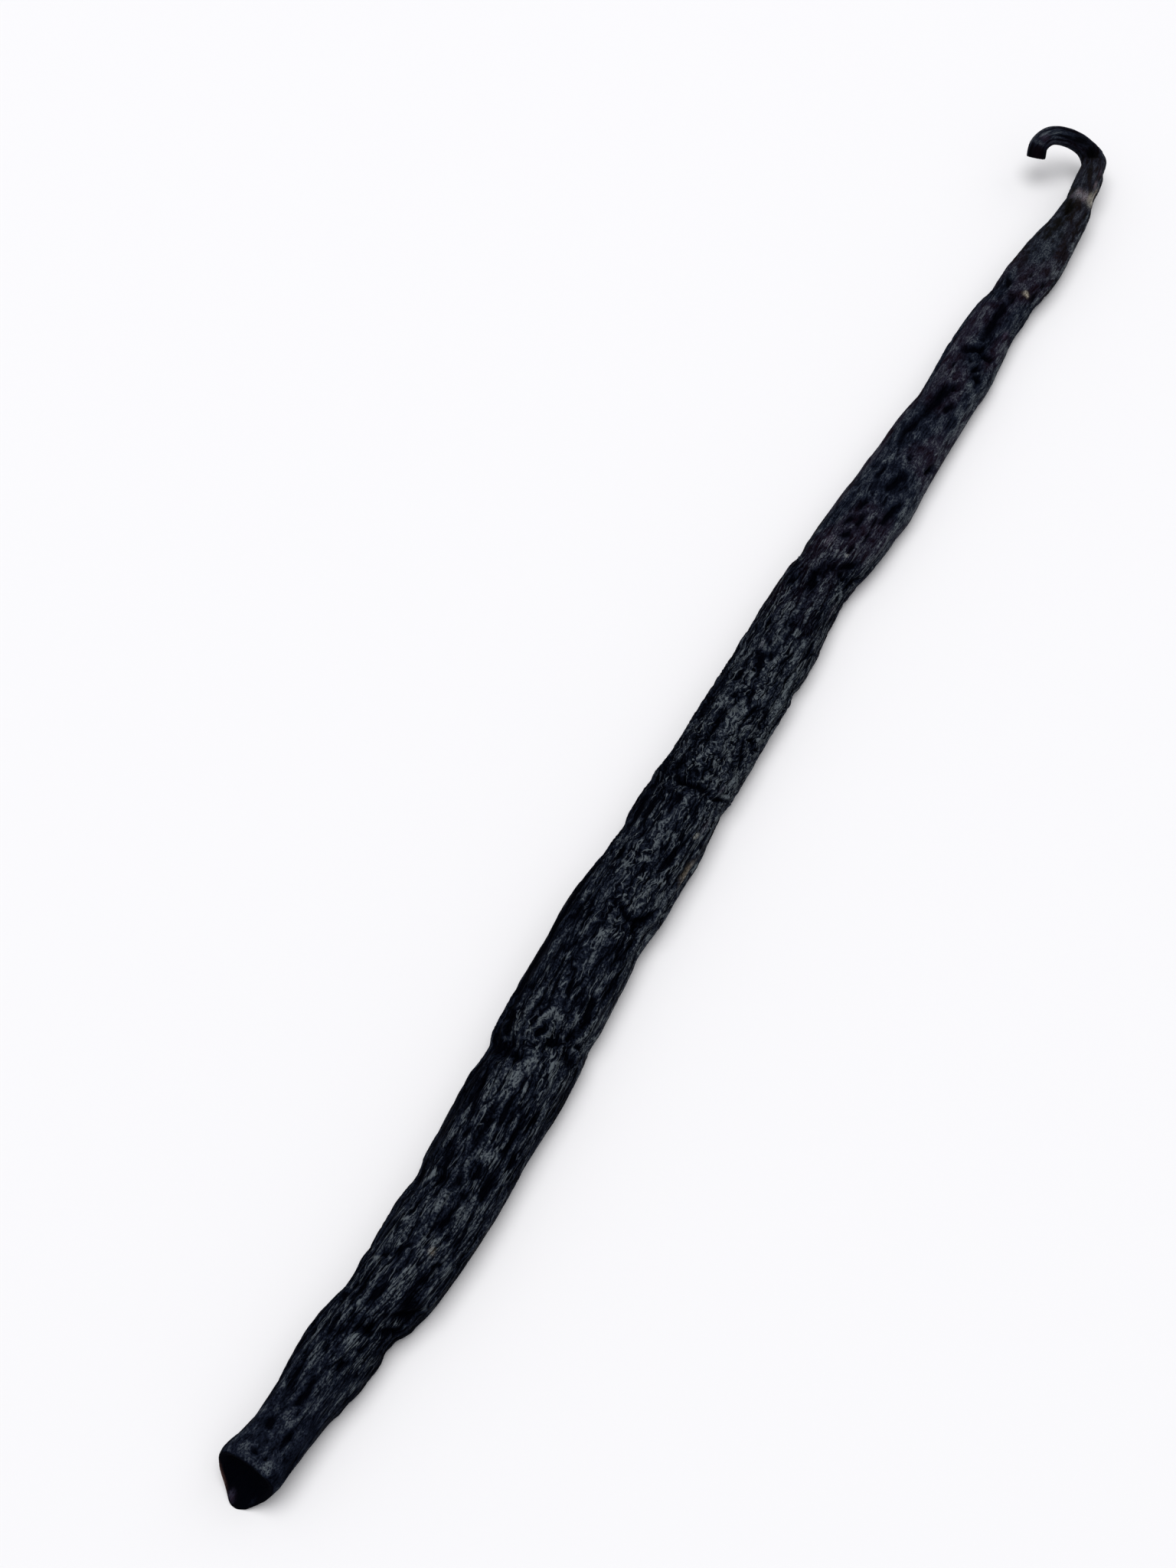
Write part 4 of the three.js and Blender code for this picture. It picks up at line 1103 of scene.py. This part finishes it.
def grain(tree, place, size, stretch, detail):
    """Noise with grains of `size` mm, drawn out along the pod by `stretch`."""
    scale = (1 / size / stretch, 1 / size, 1 / size)
    squeezed = add_node(tree, "ShaderNodeMapping", Vector=place, Scale=scale)
    noisy = add_node(tree, "ShaderNodeTexNoise", Vector=squeezed.outputs[0], Scale=1.0, Detail=detail,
                     Roughness=GRAIN_ROUGHNESS)
    return noisy.outputs["Fac"]


def thin_lines(tree, place, size, stretch, width):
    """Thin curled lines: 1 along the line where a noise crosses its middle, 0 beside it."""
    away = worked_out(tree, "SUBTRACT", grain(tree, place, size, stretch, LINE_DETAIL), NOISE_MIDDLE)
    return spread_out(tree, worked_out(tree, "ABSOLUTE", away), 0.0, width, 1.0, 0.0)


def swirled(tree, place, far):
    """Places pushed about by up to `far` mm, so that a pattern laid there swirls."""
    noisy = add_node(tree, "ShaderNodeTexNoise", Vector=place, Scale=1 / SWIRL_SIZE, Detail=SWIRL_DETAIL)
    centred = vectors(tree, "SUBTRACT", noisy.outputs["Color"], (NOISE_MIDDLE,) * 3)
    pushed = vectors(tree, "SCALE", centred, times(tree, far, 1 / NOISE_MIDDLE), "Scale")
    return vectors(tree, "ADD", place, pushed)


# %% The painted gleam
# From which value of a pattern to which, and what share of the gleam each of the two leaves.
IN_BLOTCHES = (0.42, 0.56, 0.78, 1.12)
IN_THIN_GROOVES = (0, 1, 1.15, 0.3)
IN_CLOUDS = (0.4, 0.62, 0.15, 1.25)
ON_CRISP_FIBRES, ON_CALM_FIBRES = (0.36, 0.64, 0.2, 1.8), (0.36, 0.64, 0.35, 1.65)
IN_STROKE_PATCHES = (0.47, 0.57)           # none and all of a stroke
STROKE_GLEAM = (0, 1, 2.6, 4.2)            # painted glint strokes: on plain skin and on crumpled skin
SEEN_GLEAM = (0.02, 1.0, 0.0, 1.15)        # the weakest gleams are lost in the black


def painted_gleam(tree, place, calm, grooves, thin_grooves, grains):
    """How much each spot gleams in its colour: painted sheen and shade, broken up, and painted glints."""
    blotches = spread_out(tree, grain(tree, place, *BLOTCHES), *IN_BLOTCHES)
    thinner = spread_out(tree, thin_grooves, *IN_THIN_GROOVES)
    wrinkled = times(tree, opposite(tree, grooves), blotches, thinner)
    clouded = spread_out(tree, grain(tree, place, *CLOUDS), *IN_CLOUDS)
    grey = kept(tree, "gleam")
    broken = times(tree, grey, blend(tree, calm, wrinkled, clouded), grains)
    patches = spread_out(tree, grain(tree, place, *STROKE_PATCHES), *IN_STROKE_PATCHES)
    bright = spread_out(tree, kept(tree, "crumple"), *STROKE_GLEAM)
    strokes = times(tree, thin_lines(tree, place, *STROKES), patches, grey, bright, opposite(tree, calm))
    seen = spread_out(tree, worked_out(tree, "ADD", broken, strokes), *SEEN_GLEAM)
    return worked_out(tree, "ADD", seen, times(tree, kept(tree, "painted_glint"), grains))


# %% Material
# The skin's colour from the painted shade at the bottom of a fold to the painted sheen on a crest.
SHADE_TO_SHEEN = [
    (0.0, (0.0002, 0.0004, 0.0018)), (0.25, (0.008, 0.011, 0.021)), (1.0, (0.085, 0.1, 0.112))]
IN_STAINS = (0.35, 0.65, 0.5, 1.5)         # how the fibres break up the stains, as above
ROUGHNESS = (0, 1, 0.6, 0.38)              # of the dull black and of the brightest gleam
BUMP_STRENGTH = (0, 1, 1, 0.25)            # where it is wrinkled and where it is calm
BUMP_DEPTH = 0.00022                       # metres
HALF_DEPTH = 0.5           # thin grooves and fibres are half as deep as the main grooves
GLOSS = 0.01               # weak, because the gleams are painted into the colour


def skin_colour(tree, gleam):
    ramped = add_node(tree, "ShaderNodeValToRGB", Fac=gleam)
    stops = ramped.color_ramp.elements
    stops.new(SHADE_TO_SHEEN[1][0])
    for stop, (position, colour) in zip(stops, SHADE_TO_SHEEN):
        stop.position = position
        stop.color = (*colour, 1)
    return ramped.outputs["Color"]


def make_finish():
    finish = bpy.data.materials.new("pod_skin")
    finish.use_nodes = True
    tree = finish.node_tree
    shader = tree.nodes["Principled BSDF"]
    calm = kept(tree, "calm")
    far = spread_out(tree, kept(tree, "crumple"), *SWIRL_PUSH)
    place = swirled(tree, kept(tree, "tube", "Vector"), far)
    grooves, thin_grooves = (thin_lines(tree, place, *lines) for lines in (GROOVES, THIN_GROOVES))
    fibres = grain(tree, place, *FIBRES)
    crisp, softer = (spread_out(tree, fibres, *shares) for shares in (ON_CRISP_FIBRES, ON_CALM_FIBRES))
    gleam = painted_gleam(tree, place, calm, grooves, thin_grooves, blend(tree, calm, crisp, softer))
    broken_up = spread_out(tree, fibres, *IN_STAINS)
    stain = vectors(tree, "SCALE", kept(tree, "stain", "Vector"), broken_up, "Scale")
    tree.links.new(vectors(tree, "ADD", skin_colour(tree, gleam), stain), shader.inputs["Base Color"])
    tree.links.new(spread_out(tree, gleam, *ROUGHNESS), shader.inputs["Roughness"])
    shader.inputs["Specular IOR Level"].default_value = GLOSS
    sunk = worked_out(tree, "ADD", grooves, times(tree, thin_grooves, HALF_DEPTH))
    height = worked_out(tree, "SUBTRACT", times(tree, fibres, HALF_DEPTH), sunk)
    strength = spread_out(tree, calm, *BUMP_STRENGTH)
    bump = add_node(tree, "ShaderNodeBump", Strength=strength, Distance=BUMP_DEPTH, Height=height)
    tree.links.new(bump.outputs[0], shader.inputs["Normal"])
    return finish


skin.data.materials.append(make_finish())
print(len(skin.data.materials[0].node_tree.nodes), "nodes in the finish")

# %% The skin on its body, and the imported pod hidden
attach(skin, "root")
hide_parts("pod")
